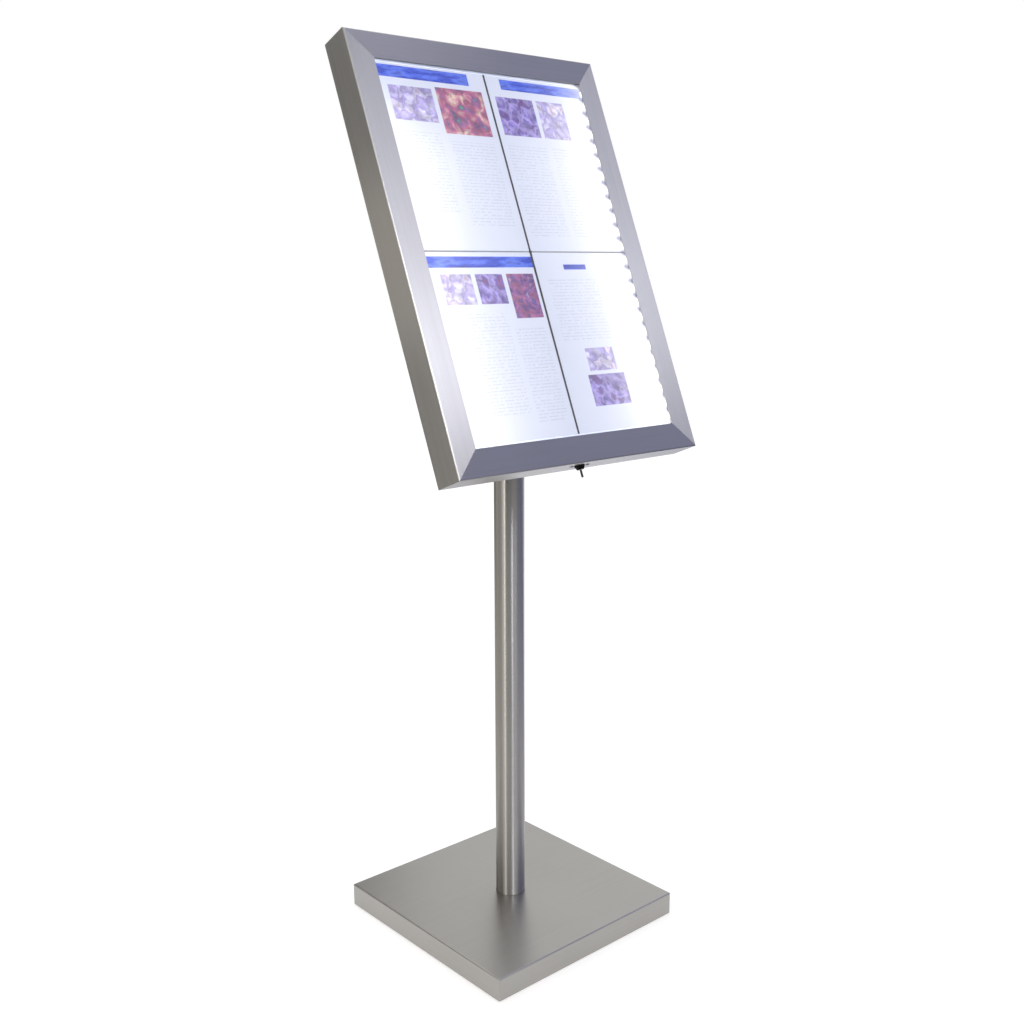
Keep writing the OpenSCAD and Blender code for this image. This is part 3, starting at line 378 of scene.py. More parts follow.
def litColour(tree, ink):
    # the colour that a backlit print sends out
    edge = panelLight(tree)
    across = addNode(tree, "SeparateXYZ", {0: casePlace(tree)}).outputs[0]
    haze = stretch(tree, across, -openX, openX, *lightLook["haze"])
    wash = calc(tree, "MULTIPLY", stretch(tree, edge, 0.05, 0.6), haze)
    tint = blendColours(tree, edge, lightLook["cool"], lightLook["white"])
    seen = blendColours(tree, wash, blendColours(tree, 1.0, ink, tint, "MULTIPLY"), lightLook["white"])
    gain = calc(tree, "MULTIPLY_ADD", edge, lightLook["edge"], c=lightLook["level"])
    most = (lightLook["brightest"],) * 3
    lit = addNode(tree, "VectorMath", {0: scaled(tree, seen, gain), 1: most}, operation="MINIMUM").outputs[0]
    return blendColours(tree, edgeTeeth(tree), lit, lightLook["toothTone"])


def litAcrylic():
    material, tree, shader = startMaterial("litAcrylic", **{"Emission Strength": 1.0, "IOR": 1.49})
    dots = addNode(tree, "TexVoronoi", {"Vector": casePlace(tree), "Scale": 400.0}, feature="F1")
    paint = blendColours(tree, stretch(tree, dots.outputs[0], 0.25, 0.4), screen("ffffff"), screen("eef1fa"))
    shader.inputs["Base Color"].default_value = screen("d4dae2")
    feed(tree, shader, glow=litColour(tree, paint),
         roughness=stretch(tree, dots.outputs[0], 0.2, 0.6, 0.15, 0.3))
    return material


def stripBoard():
    material, tree, shader = startMaterial("stripBoard", Roughness=0.4, **{"Emission Strength": 1.0})
    # the board's colour carries painted shade between the LEDs, and its glow a painted pool of light round each
    # LED
    pool = ledPool(tree)
    pads = noise(tree, mapped(tree, casePlace(tree), Scale=(900, 240, 900)), 1.0, 1.0)
    paint = blendColours(tree, stretch(tree, pads, 0.62, 0.66), screen("e4e6ea"), screen("b98f52"))
    between = stretch(tree, pool, 0.1, 0.4, 1.0, 0.0)  # painted shade on the board midway between two LEDs
    feed(tree, shader, colour=blendColours(tree, between, paint, screen("b0b0cc")))
    # painted pool of light round each LED, sent out by the board itself
    glow = calc(tree, "POWER", stretch(tree, pool, 0.15, 0.75), 1.5)
    feed(tree, shader, glow=scaled(tree, lightLook["white"][:3], glow))
    return material


def ledLens():
    material, tree, shader = startMaterial("ledLens", Roughness=0.3, **{"Emission Strength": 3.0})
    grain = noise(tree, casePlace(tree), 3000.0)
    feed(tree, shader, colour=blendColours(tree, grain, screen("f2e7a8"), screen("f8f1cf")),
         glow=blendColours(tree, grain, screen("f4f8ff"), screen("ffffff")))
    return material


def clearPane():
    material, tree, shader = startMaterial("clearPane", IOR=1.49, **{
        "Transmission Weight": 1.0, "Specular IOR Level": 0.25})
    smear = noise(tree, mapped(tree, casePlace(tree), Scale=(3, 9, 3)), 1.0, 5.0)
    feed(tree, shader, roughness=stretch(tree, smear, 0.35, 0.75, 0.0, 0.03))
    return material


# Finishes of the nodes
finishes = {slot: plainMetal(name) for slot, name in (
    ("plain_steel", "plainSteel"), ("zinc_plate", "zincPlate"), ("raw_steel", "rawSteel"),
    ("black_metal", "blackMetal"), ("plug_brass", "plugNickel"))}
finishes.update({slot: moulded(name) for slot, name in (
    ("foot_rubber", "footRubber"), ("foam_tape", "foamTape"), ("black_plastic", "blackPlastic"),
    ("grey_plastic", "greyPlastic"), ("white_paint", "whitePaint"), ("driver_case", "driverCase"),
    ("terminal_plastic", "terminalPlastic"), ("wire_jacket", "wireJacket"),
    ("rocker_plastic", "rockerPlastic"))})
markRocker(finishes["rocker_plastic"])
finishes.update({"lit_acrylic": litAcrylic(), "strip_board": stripBoard(), "led_lens": ledLens(),
                 "clear_pane": clearPane()})
steelSides = brushedSteel("steelUpright", "case", 1)
steelEnds = brushedSteel("steelLevel", "case", 0)
nodeFinishes = {
    "frame_left": steelSides,
    "frame_right": steelSides,
    "frame_top": steelEnds,
    "frame_bottom": steelEnds,
    "base_cover": brushedSteel("steelBase", "base", 0),
    "post_tube": brushedSteel("steelTube", "tube", 2),
}
for name, part in nodes.items():
    made = nodeFinishes.get(name) or finishes.get(slotOf[name])
    if made:
        part.data.materials[0] = made
print("finishes made:", len(finishes) + len(nodeFinishes))


# Printed sheets: soft pictures, bands and lines of strokes, seen by the light behind them
sheetLook = {
    "paper": "eef0f5",
    "text": "8d93a6",
    "textStrength": 0.24,
    "band": ("172a92", "2f50d2", "6384f0", "2138a8"),
    "edge": 0.35,
    "rowPitch": 5.2,
    "rowShare": 0.34,
    "bead": 0.075,  # round shapes per millimetre of a picture
    "sway": (4.0, -3.0),  # how far they are bent aside and up
    "wordPitch": 7.0,
    "wordGap": 0.46,
    "faded": 0.35,  # a print's own paint, beside its lit colour
}
berry = ("5aa47e", "7a5a86", "a0648f", "b9627e", "cf8a9a", "e0b0a0", "f0dcc8")
lilac = ("d9d2ea", "c2b6dd", "ab9bd0", "e6e0f2", "cfb0c8")
plum = ("5d4a8f", "8d7ac0", "b3a2d8", "7059a4", "9c5f92")
dusk = ("4a3562", "7d5290", "b0688a", "66509a", "cf9fae")
# Each block: its kind, its inks, and its place on the sheet in millimetres from the lower left corner
sheetPrints = {
    "page_upper_left": [
        ("band", None, (0, 274, 176, 294)),
        ("picture", lilac, (14, 206, 96, 262)),
        ("picture", berry, (104, 190, 198, 266)),
        ("text", None, (14, 60, 92, 190)),
        ("text", None, (108, 40, 196, 178)),
    ],
    "page_upper_right": [
        ("band", None, (30, 275, 210, 293)),
        ("picture", plum, (12, 196, 92, 262)),
        ("picture", lilac, (100, 196, 160, 262)),
        ("text", None, (12, 24, 96, 180)),
        ("text", None, (108, 24, 192, 180)),
    ],
    "page_lower_left": [
        ("band", None, (0, 272, 210, 290)),
        ("picture", lilac, (20, 214, 78, 262)),
        ("picture", plum, (86, 214, 140, 262)),
        ("picture", dusk, (148, 190, 204, 262)),
        ("text", None, (20, 40, 128, 200)),
        ("text", None, (138, 24, 200, 176)),
    ],
    "page_lower_right": [
        ("band", None, (62, 268, 112, 277)),
        ("text", None, (20, 150, 130, 252)),
        ("picture", plum, (52, 40, 134, 92)),
        ("picture", lilac, (60, 98, 122, 136)),
    ],
}


def ramp(tree, value, inks):
    made = addNode(tree, "ValToRGB", {0: value})
    stops = made.color_ramp.elements
    while len(stops) < len(inks):
        stops.new(0.5)
    for i, ink in enumerate(inks):
        stops[i].position = i / (len(inks) - 1)
        stops[i].color = screen(ink)
    return made.outputs[0]


def pictureFill(tree, place, inks):
    # round shapes in several inks with soft light on them, like a still life out of focus
    bent = noise(tree, place, 0.06, 2.0)
    sideways, upwards = sheetLook["sway"]
    offset = addNode(tree, "CombineXYZ", {
        0: fromNoise(tree, bent, -sideways, sideways), 1: fromNoise(tree, bent, -upwards, upwards)})
    shifted = addNode(tree, "VectorMath", {0: place, 1: offset.outputs[0]}, operation="ADD").outputs[0]
    beads = addNode(tree, "TexVoronoi", {"Vector": shifted, "Scale": sheetLook["bead"], "Smoothness": 0.35},
                    feature="SMOOTH_F1")
    paint = ramp(tree, fromNoise(tree, noise(tree, shifted, 0.05, 2.0)), inks)
    light = stretch(tree, beads.outputs["Distance"], 0.1, 0.75, 1.35, 0.75)
    fleck = fromNoise(tree, noise(tree, place, 0.5, 3.0), 0.85, 1.15)
    return scaled(tree, paint, calc(tree, "MULTIPLY", light, fleck))


def boxMask(tree, axes, spot):
    left, low, right, high = spot
    inside = 1.0
    for value, start, end in ((axes[0], left, right), (axes[1], low, high)):
        off = calc(tree, "ABSOLUTE", calc(tree, "SUBTRACT", value, (start + end) / 2))
        half = (end - start) / 2
        inside = calc(tree, "MULTIPLY", inside, stretch(tree, off, half - sheetLook["edge"], half, 1.0, 0.0))
    return inside


def textMask(tree, axes, spot):
    # rows of short grey strokes of uneven length, which stand for lines of print
    row = calc(tree, "DIVIDE", axes[1], sheetLook["rowPitch"])
    stroke = calc(tree, "LESS_THAN", calc(tree, "FRACT", row), sheetLook["rowShare"])
    column = calc(tree, "DIVIDE", axes[0], sheetLook["wordPitch"])
    spots = addNode(tree, "CombineXYZ", {0: column, 1: calc(tree, "FLOOR", row)})
    words = noise(tree, spots.outputs[0], 1.7, 1.0)
    ink = calc(tree, "GREATER_THAN", words, sheetLook["wordGap"])
    return calc(tree, "MULTIPLY", calc(tree, "MULTIPLY", stroke, ink), boxMask(tree, axes, spot))


def printedSheet(name, blocks):
    material, tree, shader = startMaterial(name + "Print", Roughness=0.6, **{
        "Emission Strength": 1.0, "Specular IOR Level": 0.15})
    low, high = caseBox(name)
    corner = caseToWorld @ Vector((low.x, low.y, high.z))
    place = mapped(tree, objectPlace(tree), kind="TEXTURE", Location=corner, Rotation=(caseTurn, 0, 0),
                   Scale=(0.001, 0.001, 1000.0))
    axes = addNode(tree, "SeparateXYZ", {0: place}).outputs
    cloud = fromNoise(tree, noise(tree, mapped(tree, place, Scale=(0.02, 0.09, 1)), 1.0, 4.0))
    colour = screen(sheetLook["paper"])
    for kind, inks, spot in blocks:
        if kind == "text":
            mask = calc(tree, "MULTIPLY", textMask(tree, axes, spot), sheetLook["textStrength"])
            fill = screen(sheetLook["text"])
        else:
            mask = boxMask(tree, axes, spot)
            fill = ramp(tree, cloud, sheetLook["band"]) if kind == "band" else pictureFill(tree, place, inks)
        colour = blendColours(tree, mask, colour, fill)
    faded = scaled(tree, colour, sheetLook["faded"])
    feed(tree, shader, colour=faded, glow=litColour(tree, colour))
    nodes[name].data.materials[0] = material


for name, blocks in sheetPrints.items():
    printedSheet(name, blocks)
print("sheets printed:", len(sheetPrints))


# Shapes of the modelled pieces, in millimetres until they are placed
mm = 0.001
straight = Matrix.Identity(4)


def shadeEdges(shape, degrees=28):
    # smooth over small turns, crisp at the others
    for face in shape.faces:
        face.smooth = True
    for edge in shape.edges:
        edge.smooth = edge.is_manifold and edge.calc_face_angle() < math.radians(degrees)


def turned(profile, segments=40, closed=True):
    # a shape turned round z from points of radius and height
    shape = bmesh.new()
    points = [shape.verts.new((radius, 0, height)) for radius, height in profile]
    edges = [shape.edges.new(pair) for pair in zip(points, points[1:])]
    if closed:
        edges.append(shape.edges.new((points[-1], points[0])))
    bmesh.ops.spin(shape, geom=points + edges, axis=(0, 0, 1), cent=(0, 0, 0), angle=2 * math.pi,
                   steps=segments, use_merge=True)
    bmesh.ops.remove_doubles(shape, verts=shape.verts, dist=1e-4)
    bmesh.ops.recalc_face_normals(shape, faces=shape.faces)
    return shape


def cutHex(shape, across):
    # six flats on a turned blank, so that its chamfers leave the arcs of a real nut
    for turn in range(6):
        way = Vector((math.cos(turn * math.pi / 3), math.sin(turn * math.pi / 3), 0))
        cut = bmesh.ops.bisect_plane(shape, geom=shape.verts[:] + shape.edges[:] + shape.faces[:], dist=1e-5,
                                     plane_co=way * across / 2, plane_no=way, clear_outer=True)
        rim = [part for part in cut["geom_cut"] if isinstance(part, bmesh.types.BMEdge)]
        bmesh.ops.edgenet_fill(shape, edges=rim)
    return shape


def bevelEdges(shape, edges, radius, steps, clamp=False):
    bmesh.ops.bevel(shape, geom=edges, offset=radius, offset_type="OFFSET", affect="EDGES", segments=steps,
                    profile=0.5, material=-1, clamp_overlap=clamp)


def lift(shape, made, height):
    # moves up what an extrusion made
    points = [part for part in made["geom"] if isinstance(part, bmesh.types.BMVert)]
    bmesh.ops.translate(shape, vec=(0, 0, height), verts=points)


def join(whole, shape, matrix=straight):
    # adds a finished shape to a piece
    part = bpy.data.meshes.new("part")
    shape.to_mesh(part)
    shape.free()
    start = len(whole.verts)
    whole.from_mesh(part)
    bpy.data.meshes.remove(part)
    bmesh.ops.transform(whole, matrix=matrix, verts=whole.verts[start:])
    return whole


def looseBoxes(name, toLocal):
    # lowest and highest corner of each separate solid of a node
    shape = bmesh.new()
    shape.from_mesh(nodes[name].data)
    bmesh.ops.remove_doubles(shape, verts=shape.verts, dist=1e-6)
    boxes = []
    for first in shape.verts:
        if first.tag:
            continue
        first.tag = True
        group, at = [first], 0
        while at < len(group):
            for edge in group[at].link_edges:
                other = edge.other_vert(group[at])
                if not other.tag:
                    other.tag = True
                    group.append(other)
            at += 1
        boxes.append(cornersOf([toLocal @ vert.co for vert in group]))
    shape.free()
    return boxes


def addPiece(name, whole, finish, likeNode, replaced=(), shade=28):
    # a new piece rides on the body of the node that it stands for or sits on
    if shade:
        shadeEdges(whole, shade)
    mesh = bpy.data.meshes.new(name)
    whole.to_mesh(mesh)
    whole.free()
    mesh.materials.append(finish)
    piece = bpy.data.objects.new(name, mesh)
    bpy.context.scene.collection.objects.link(piece)
    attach(piece, bodyOf[likeNode])
    if replaced:
        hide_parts(*replaced)
    return piece


# Sheet metal and mouldings with eased edges: copies of the nodes, by the edges' radius and by the shortest edge
# that is eased
easedEdges = {
    "frame_top": (0.2, 20), "frame_left": (0.2, 20), "frame_bottom": (0.2, 20), "frame_right": (0.2, 20),
    "base_cover": (0.3, 20), "back_panel": (0.3, 8),
    "hinge_leaf_back": (0.2, 3), "hinge_leaf_door": (0.2, 3),
    "bracket_left": (0.6, 10), "bracket_right": (0.6, 10),
    "rail_left": (0.4, 8), "rail_right": (0.4, 8), "rail_top": (0.4, 8), "rail_bottom": (0.4, 8),
    "support_plate": (0.3, 8), "light_panel": (0.4, 5), "glazing_pane": (0.4, 2),
    "glazing_clips": (0.35, 1.4), "lock_keeper": (0.35, 1.4), "lock_plate": (0.4, 1.4),
    "lock_cam": (0.35, 1.2), "post_cap": (1.0, 2), "rubber_feet": (1.2, 1.5),
    "switch_housing": (0.5, 1.4), "switch_rocker": (0.5, 1.4),
    "led_driver": (0.8, 1.8), "terminal_block": (0.8, 5), "ballast_plate": (0.8, 9),
    "divider_upright": (0.2, 0.5), "divider_cross": (0.15, 0.5),
}


def foldBack(shape, radius=1.8, near=0.02 * mm):
    # the folds round the back panel, along its rear edges
    low, high = caseBox("back_panel")
    sides = [(side[i], i) for side in (low, high) for i in (0, 1)]
    picked = []
    for edge in shape.edges:
        ends = [worldToCase @ vert.co for vert in edge.verts]
        rear = all(end.z - low.z < near for end in ends)
        if rear and any(all(abs(end[i] - side) < near for end in ends) for side, i in sides):
            picked.append(edge)
    bevelEdges(shape, picked, radius * mm, 6, True)


def easeEdges(shape, radius, shortest, steps=3, sharp=40):
    corners = [edge for edge in shape.edges if edge.is_manifold and edge.calc_length() > shortest * mm
               and edge.calc_face_angle() > math.radians(sharp)]
    bevelEdges(shape, corners, radius * mm, steps, True)


def easedCopy(name, radius, shortest):
    shape = bmesh.new()
    shape.from_mesh(nodes[name].data)
    bmesh.ops.remove_doubles(shape, verts=shape.verts, dist=1e-6)
    bmesh.ops.dissolve_limit(shape, angle_limit=math.radians(0.3), verts=shape.verts, edges=shape.edges)
    if name == "back_panel":
        foldBack(shape)
    easeEdges(shape, radius, shortest)
    if name in nodeFinishes:  # the ends of the bends leave slivers
        bmesh.ops.dissolve_degenerate(shape, dist=0.01 * mm, edges=shape.edges)
    piece = addPiece(name + "Eased", shape, nodes[name].data.materials[0], name, (name,), shade=35)
    evened = piece.modifiers.new("evened", "WEIGHTED_NORMAL")
    evened.keep_sharp = True
    return piece


for name, (radius, shortest) in easedEdges.items():
    easedCopy(name, radius, shortest)
print("edges eased:", len(easedEdges))


# Nuts, bolts, screws and rivets
fasteners = {
    "bracket_nuts": {"kind": "nut", "across": 13, "bore": 8.1},
    "clip_nuts": {"kind": "nut", "across": 7, "bore": 4.1},
    "lock_nut": {"kind": "nut", "across": 20, "bore": 14.1},
    "cam_nut": {"kind": "nut", "across": 10, "bore": 6.1},
    "gland_nut": {"kind": "nut", "across": 20, "bore": 16.1},
    "bracket_bolts": {"kind": "bolt", "across": 13, "head": 5.5, "shank": 8},
    "cross_bolts": {"kind": "bolt", "across": 13, "head": 5.5, "shank": 8},
    "panel_rivets": {"kind": "rivet", "head": 7, "height": 1.2, "shank": 4},
    "lock_rivets": {"kind": "rivet", "head": 7, "height": 2.2, "shank": 4},
    "base_screws": {"kind": "screw", "head": 9, "height": 2.5, "shank": 5, "socket": 3, "sunk": False},
    "post_bolts": {"kind": "screw", "head": 16, "height": 4, "shank": 8, "socket": 5, "sunk": True},
}
standing = ("base_screws", "post_bolts")  # the other fasteners lie along the case's axes


def hexRim(across):
    # the corners' radius, the radius where their chamfer starts, and how far it falls
    corner, flat = across / math.sqrt(3), across * 0.47
    return corner, flat, (corner - flat) * math.tan(math.radians(30))


def makeNut(size, length):
    across, bore, lip = size["across"], size["bore"] / 2, 0.4
    corner, flat, fall = hexRim(across)
    blank = turned([(bore, lip), (bore + lip, 0), (flat, 0), (corner, fall), (corner, length - fall),
                    (flat, length), (bore + lip, length), (bore, length - lip)], 48)
    return cutHex(blank, across)


def threaded(radius, start, end, pitch=1.25, depth=0.5):
    # outline of a thread's ridges, as rings
    points = []
    while start + pitch < end:
        points += [(radius - depth, start), (radius, start + pitch * 0.4), (radius, start + pitch * 0.6)]
        start += pitch
    return points + [(radius - depth, start), (radius - depth, end)]


def makeBolt(size, length):
    across, head, radius = size["across"], size["head"], size["shank"] / 2
    corner, flat, fall = hexRim(across)
    cap = cutHex(turned([(0, 0.15), (flat * 0.75, 0.15), (flat * 0.8, 0), (flat, 0), (corner, fall),
                         (corner, head), (0, head)], 48, closed=False), across)
    grip = length * 0.55
    shank = turned([(0, head - 0.2), (radius, head - 0.2), (radius, grip)]
                   + threaded(radius, grip, length - 0.7)
                   + [(radius - 1.1, length), (0, length)], 32, closed=False)
    return join(cap, shank)


def makeRivet(size, length):
    # a domed head with the hole of its mandrel, and a bulged tail
    rim, height, shank = size["head"] / 2, size["height"], size["shank"] / 2
    tail = length - 1.2
    return turned([(0, 0.9), (0.9, 0.9), (1.0, 0.1), (1.3, 0.02), (rim * 0.6, height * 0.12),
                   (rim * 0.86, height * 0.4), (rim, height - 0.2), (rim, height), (shank, height),
                   (shank, tail), (shank + 0.9, tail + 0.1), (shank + 1.1, tail + 0.5),
                   (shank + 0.5, length - 0.15), (1.2, length), (1.0, length - 0.3), (0, length - 0.3)],
                  32, closed=False)


def makeScrew(size, length):
    # a round or countersunk head with a hexagon socket
    head, radius, socket = size["head"] / 2, size["shank"] / 2, size["socket"] / math.sqrt(3)
    height = size["height"]
    rim = [(head, 0), (head, 0.3)] if size["sunk"] else [(head - 0.5, 0), (head, 0.5), (head, height)]
    shape = turned([(socket + 0.4, 0)] + rim + [(radius, height)] + threaded(radius, height + 1, length - 0.7)
                   + [(radius - 0.9, length), (0, length)], 36, closed=False)
    ring = [edge for edge in shape.edges if edge.is_boundary]
    corners = bmesh.ops.create_circle(shape, segments=6, radius=socket)["verts"]
    sides = list({edge for vert in corners for edge in vert.link_edges})
    bmesh.ops.bridge_loops(shape, edges=ring + sides)
    lift(shape, bmesh.ops.extrude_edge_only(shape, edges=sides), height * 0.7)
    bmesh.ops.edgeloop_fill(shape, edges=[e for e in shape.edges if e.is_boundary])
    bmesh.ops.recalc_face_normals(shape, faces=shape.faces)
    return shape


makers = {"nut": makeNut, "bolt": makeBolt, "rivet": makeRivet, "screw": makeScrew}
alongAxis = {0: Matrix.Rotation(math.pi / 2, 4, "Y"), 1: Matrix.Rotation(-math.pi / 2, 4, "X"), 2: straight}


def makeFasteners(name, size):
    whole = bmesh.new()
    toWorld = straight if name in standing else caseToWorld
    for low, high in looseBoxes(name, toWorld.inverted()):
        spread = list(high - low)
        pick = min if size["kind"] == "nut" else max
        if size["kind"] == "rivet":
            axis = min(range(3), key=lambda i: abs(sum(spread) - spread[i] - 2 * size["head"] * mm))
        else:
            axis = spread.index(pick(spread))
        foot = (low + high) / 2
        foot[axis] = low[axis]
        place = toWorld @ Matrix.Translation(foot) @ alongAxis[axis] @ Matrix.Scale(mm, 4)
        join(whole, makers[size["kind"]](size, spread[axis] / mm), place)
    addPiece(name + "Made", whole, nodes[name].data.materials[0], name, (name,))


for name, size in fasteners.items():
    makeFasteners(name, size)
print("fasteners made:", len(fasteners))


# Lock head and key under the case
lockLow, lockHigh = caseBox("lock_body")
lockFace = Vector(((lockLow.x + lockHigh.x) / 2, caseBox("frame_bottom")[0].y, (lockLow.z + lockHigh.z) / 2))
# the lock's axes: z into the case from its lower face, y to the back
lockToWorld = (caseToWorld @ Matrix.Translation(lockFace) @ Matrix.Rotation(-math.pi / 2, 4, "X")
               @ Matrix.Scale(mm, 4))
lockShape = {
    "head": 17, "headHeight": 6.5, "flange": 2.5, "nose": 12.5,
    "barrel": 14, "bore": 10.1, "length": 18,
}
keyShape = {
    "turn": -45,
    "shoulder": -7.4,  # from the case's lower face to the key's shoulder
    "bow": 11, "bowThickness": 3.4, "bowReach": 6.5, "hole": 3.2, "holeDrop": 2.3,
    "ease": (0.7, 0.6),  # of the bow and of its web
    "blade": (1.8, 7.0, 14.2),
    # the cuts along the blade's edge: how far from the shoulder, and how deep
    "cuts": ((2.4, 1.2), (4.6, 2.2), (6.8, 0.8), (9.0, 1.8), (11.2, 1.4)),
}


def makeLock(size):
    head, nose, barrel, bore = (size[part] / 2 for part in ("head", "nose", "barrel", "bore"))
    drop, flange, length = -size["headHeight"], -size["flange"], size["length"]
    outline = [(bore, drop + 0.3), (bore + 0.3, drop), (nose - 0.6, drop), (nose - 0.1, drop + 0.3),
               (head - 0.9, flange - 0.3), (head - 0.3, flange), (head, flange + 0.5), (head, -0.3),
               (head - 0.3, 0), (barrel, 0), (barrel, 3)]
    outline += threaded(barrel, 3, length - 0.6, 1.0, 0.5) + [(bore + 0.6, length), (bore, length - 0.6)]
    whole = join(bmesh.new(), turned(outline, 48), lockToWorld)
    addPiece("lockHead", whole, nodes["lock_body"].data.materials[0], "lock_body", ("lock_body",))


def makeBow(size):
    # a flat round bow with a hole near its end, and the web that runs down to the blade
    shape = bmesh.new()
    rims = []
    for radius, drop in ((size["bow"] / 2, 0), (size["hole"] / 2, -size["holeDrop"])):
        ring = bmesh.ops.create_circle(shape, segments=40, radius=radius)["verts"]
        bmesh.ops.translate(shape, vec=(0, drop, 0), verts=ring)
        rims += {edge for vert in ring for edge in vert.link_edges}
    bmesh.ops.bridge_loops(shape, edges=rims)
    lift(shape, bmesh.ops.extrude_face_region(shape, geom=shape.faces[:]), size["bowThickness"])
    bmesh.ops.recalc_face_normals(shape, faces=shape.faces)
    corners = [edge for edge in shape.edges if edge.calc_face_angle() > math.radians(60)]
    bowEase, webEase = size["ease"]
    bevelEdges(shape, corners, bowEase, 3)
    web = bmesh.new()
    bmesh.ops.create_cube(web, size=1)
    bmesh.ops.scale(web, vec=(size["blade"][1], size["bowReach"], size["bowThickness"]), verts=web.verts)
    bmesh.ops.translate(web, vec=(0, size["bowReach"] / 2, size["bowThickness"] / 2), verts=web.verts)
    bevelEdges(web, web.edges[:], webEase, 3)
    return join(shape, web)


def makeBlade(size):
    thick, wide, long = size["blade"]
    outline = [(-wide / 2 + 0.3, -2), (-wide / 2 + 0.3, long - 1.6), (-wide / 2 + 1.9, long), (0.4, long),
               (wide / 2 - 0.3, long - 1.8)]
    for reach, depth in reversed(size["cuts"]):
        outline += [(wide / 2 - 0.3, reach + 0.9), (wide / 2 - 0.3 - depth, reach + 0.3),
                    (wide / 2 - 0.3 - depth, reach - 0.3), (wide / 2 - 0.3, reach - 0.9)]
    outline.append((wide / 2 - 0.3, -2))
    shape = bmesh.new()
    face = shape.faces.new([shape.verts.new((across, along, -thick / 2)) for across, along in outline])
    lift(shape, bmesh.ops.extrude_face_region(shape, geom=[face]), thick)
    bmesh.ops.recalc_face_normals(shape, faces=shape.faces)
    return shape


def makeKey(size):
    # drawn flat with y along the blade, then stood on the lock's axis
    stand = Matrix.Rotation(math.radians(size["turn"]), 4, "Z") @ Matrix.Translation((0, 0, size["shoulder"]))
    stand = lockToWorld @ stand @ Matrix(((0, 0, 1, 0), (1, 0, 0, 0), (0, 1, 0, 0), (0, 0, 0, 1)))
    drop = Matrix.Translation((0, -size["bowReach"], -size["bowThickness"] / 2))
    bow = join(bmesh.new(), makeBow(size), stand @ drop)
    addPiece("keyBow", bow, nodes["key"].data.materials[0], "key", ("key",))
    blade = join(bmesh.new(), makeBlade(size), stand)
    piece = addPiece("keyBlade", blade, finishes["zinc_plate"], "key")


makeLock(lockShape)
makeKey(keyShape)
print("lock and key made")


# Cable gland on the back
glandShape = {
    "across": 20, "hexHeight": 6, "dome": 18, "reach": 16, "flutes": 12,
    "thread": 16, "threadReach": 10, "bore": 7,
}


def makeGland(size):
    low, high = caseBox("cable_gland")
    back = caseBox("back_panel")[0].z
    middle = Matrix.Translation(((low.x + high.x) / 2, (low.y + high.y) / 2, back))
    place = caseToWorld @ middle @ Matrix.Scale(mm, 4)
    bore, dome, across = size["bore"] / 2, size["dome"] / 2, size["across"]
    corner, flat = across / math.sqrt(3), across * 0.47
    fall = (corner - flat) * 0.577
    sleeve = bore + 0.05  # the parts' bores differ a little where they overlap
    hexEnd, tip = -size["hexHeight"], -size["reach"]
    nut = cutHex(turned([(sleeve, hexEnd), (flat, hexEnd), (corner, fall + hexEnd), (corner, -0.4),
                         (corner - 0.4, 0), (sleeve, 0)], 48), across)
    steps = size["flutes"] * 4
    cap = turned([(bore, tip + 0.6), (bore + 0.5, tip), (dome * 0.62, tip), (dome * 0.84, tip + 1.2),
                  (dome * 0.96, tip + 3.2), (dome, tip + 4.6), (dome, hexEnd - 0.4),
                  (dome - 0.4, 0.2 + hexEnd), (bore, 0.2 + hexEnd)], steps)
    hollow = [vert for vert in cap.verts if math.hypot(vert.co.x, vert.co.y) > dome * 0.95
              and round(math.atan2(vert.co.y, vert.co.x) / (2 * math.pi) * steps) % 4 == 0]
    bmesh.ops.scale(cap, vec=(0.93, 0.93, 1), verts=hollow)
    thread, inner = size["thread"] / 2, size["threadReach"]
    stem = turned([(bore, -0.2), (thread, -0.2)] + threaded(thread, 0.2, inner - 0.4, 1.5, 0.7)
                  + [(thread - 1.2, inner), (bore, inner)], 40)
    whole = bmesh.new()
    for part in (nut, cap, stem):
        join(whole, part, place)
    addPiece("cableGland", whole, nodes["cable_gland"].data.materials[0], "cable_gland", ("cable_gland",))


makeGland(glandShape)
print("gland made")


# LEDs on the strips, each a package with a sunk lens towards the panel's edge
chipShape = {"rim": 0.14, "sink": 0.25, "ease": 0.04}  # shares of the package's width and height


def makeChips(size):
    whole = bmesh.new()
    for low, high in looseBoxes("led_chips", worldToCase):
        chip = bmesh.new()
        bmesh.ops.create_cube(chip, size=1)
        bevelEdges(chip, chip.edges[:], size["ease"], 1)
        lens = [face for face in chip.faces if face.normal.x * low.x < -0.9 * abs(low.x)]
        bmesh.ops.inset_region(chip, faces=lens, thickness=size["rim"], depth=-size["sink"])
        place = caseToWorld @ Matrix.Translation((low + high) / 2) @ Matrix.Diagonal((*(high - low), 1))
        join(whole, chip, place)
    addPiece("ledChips", whole, nodes["led_chips"].data.materials[0], "led_chips", ("led_chips",))


makeChips(chipShape)
print("LEDs made")


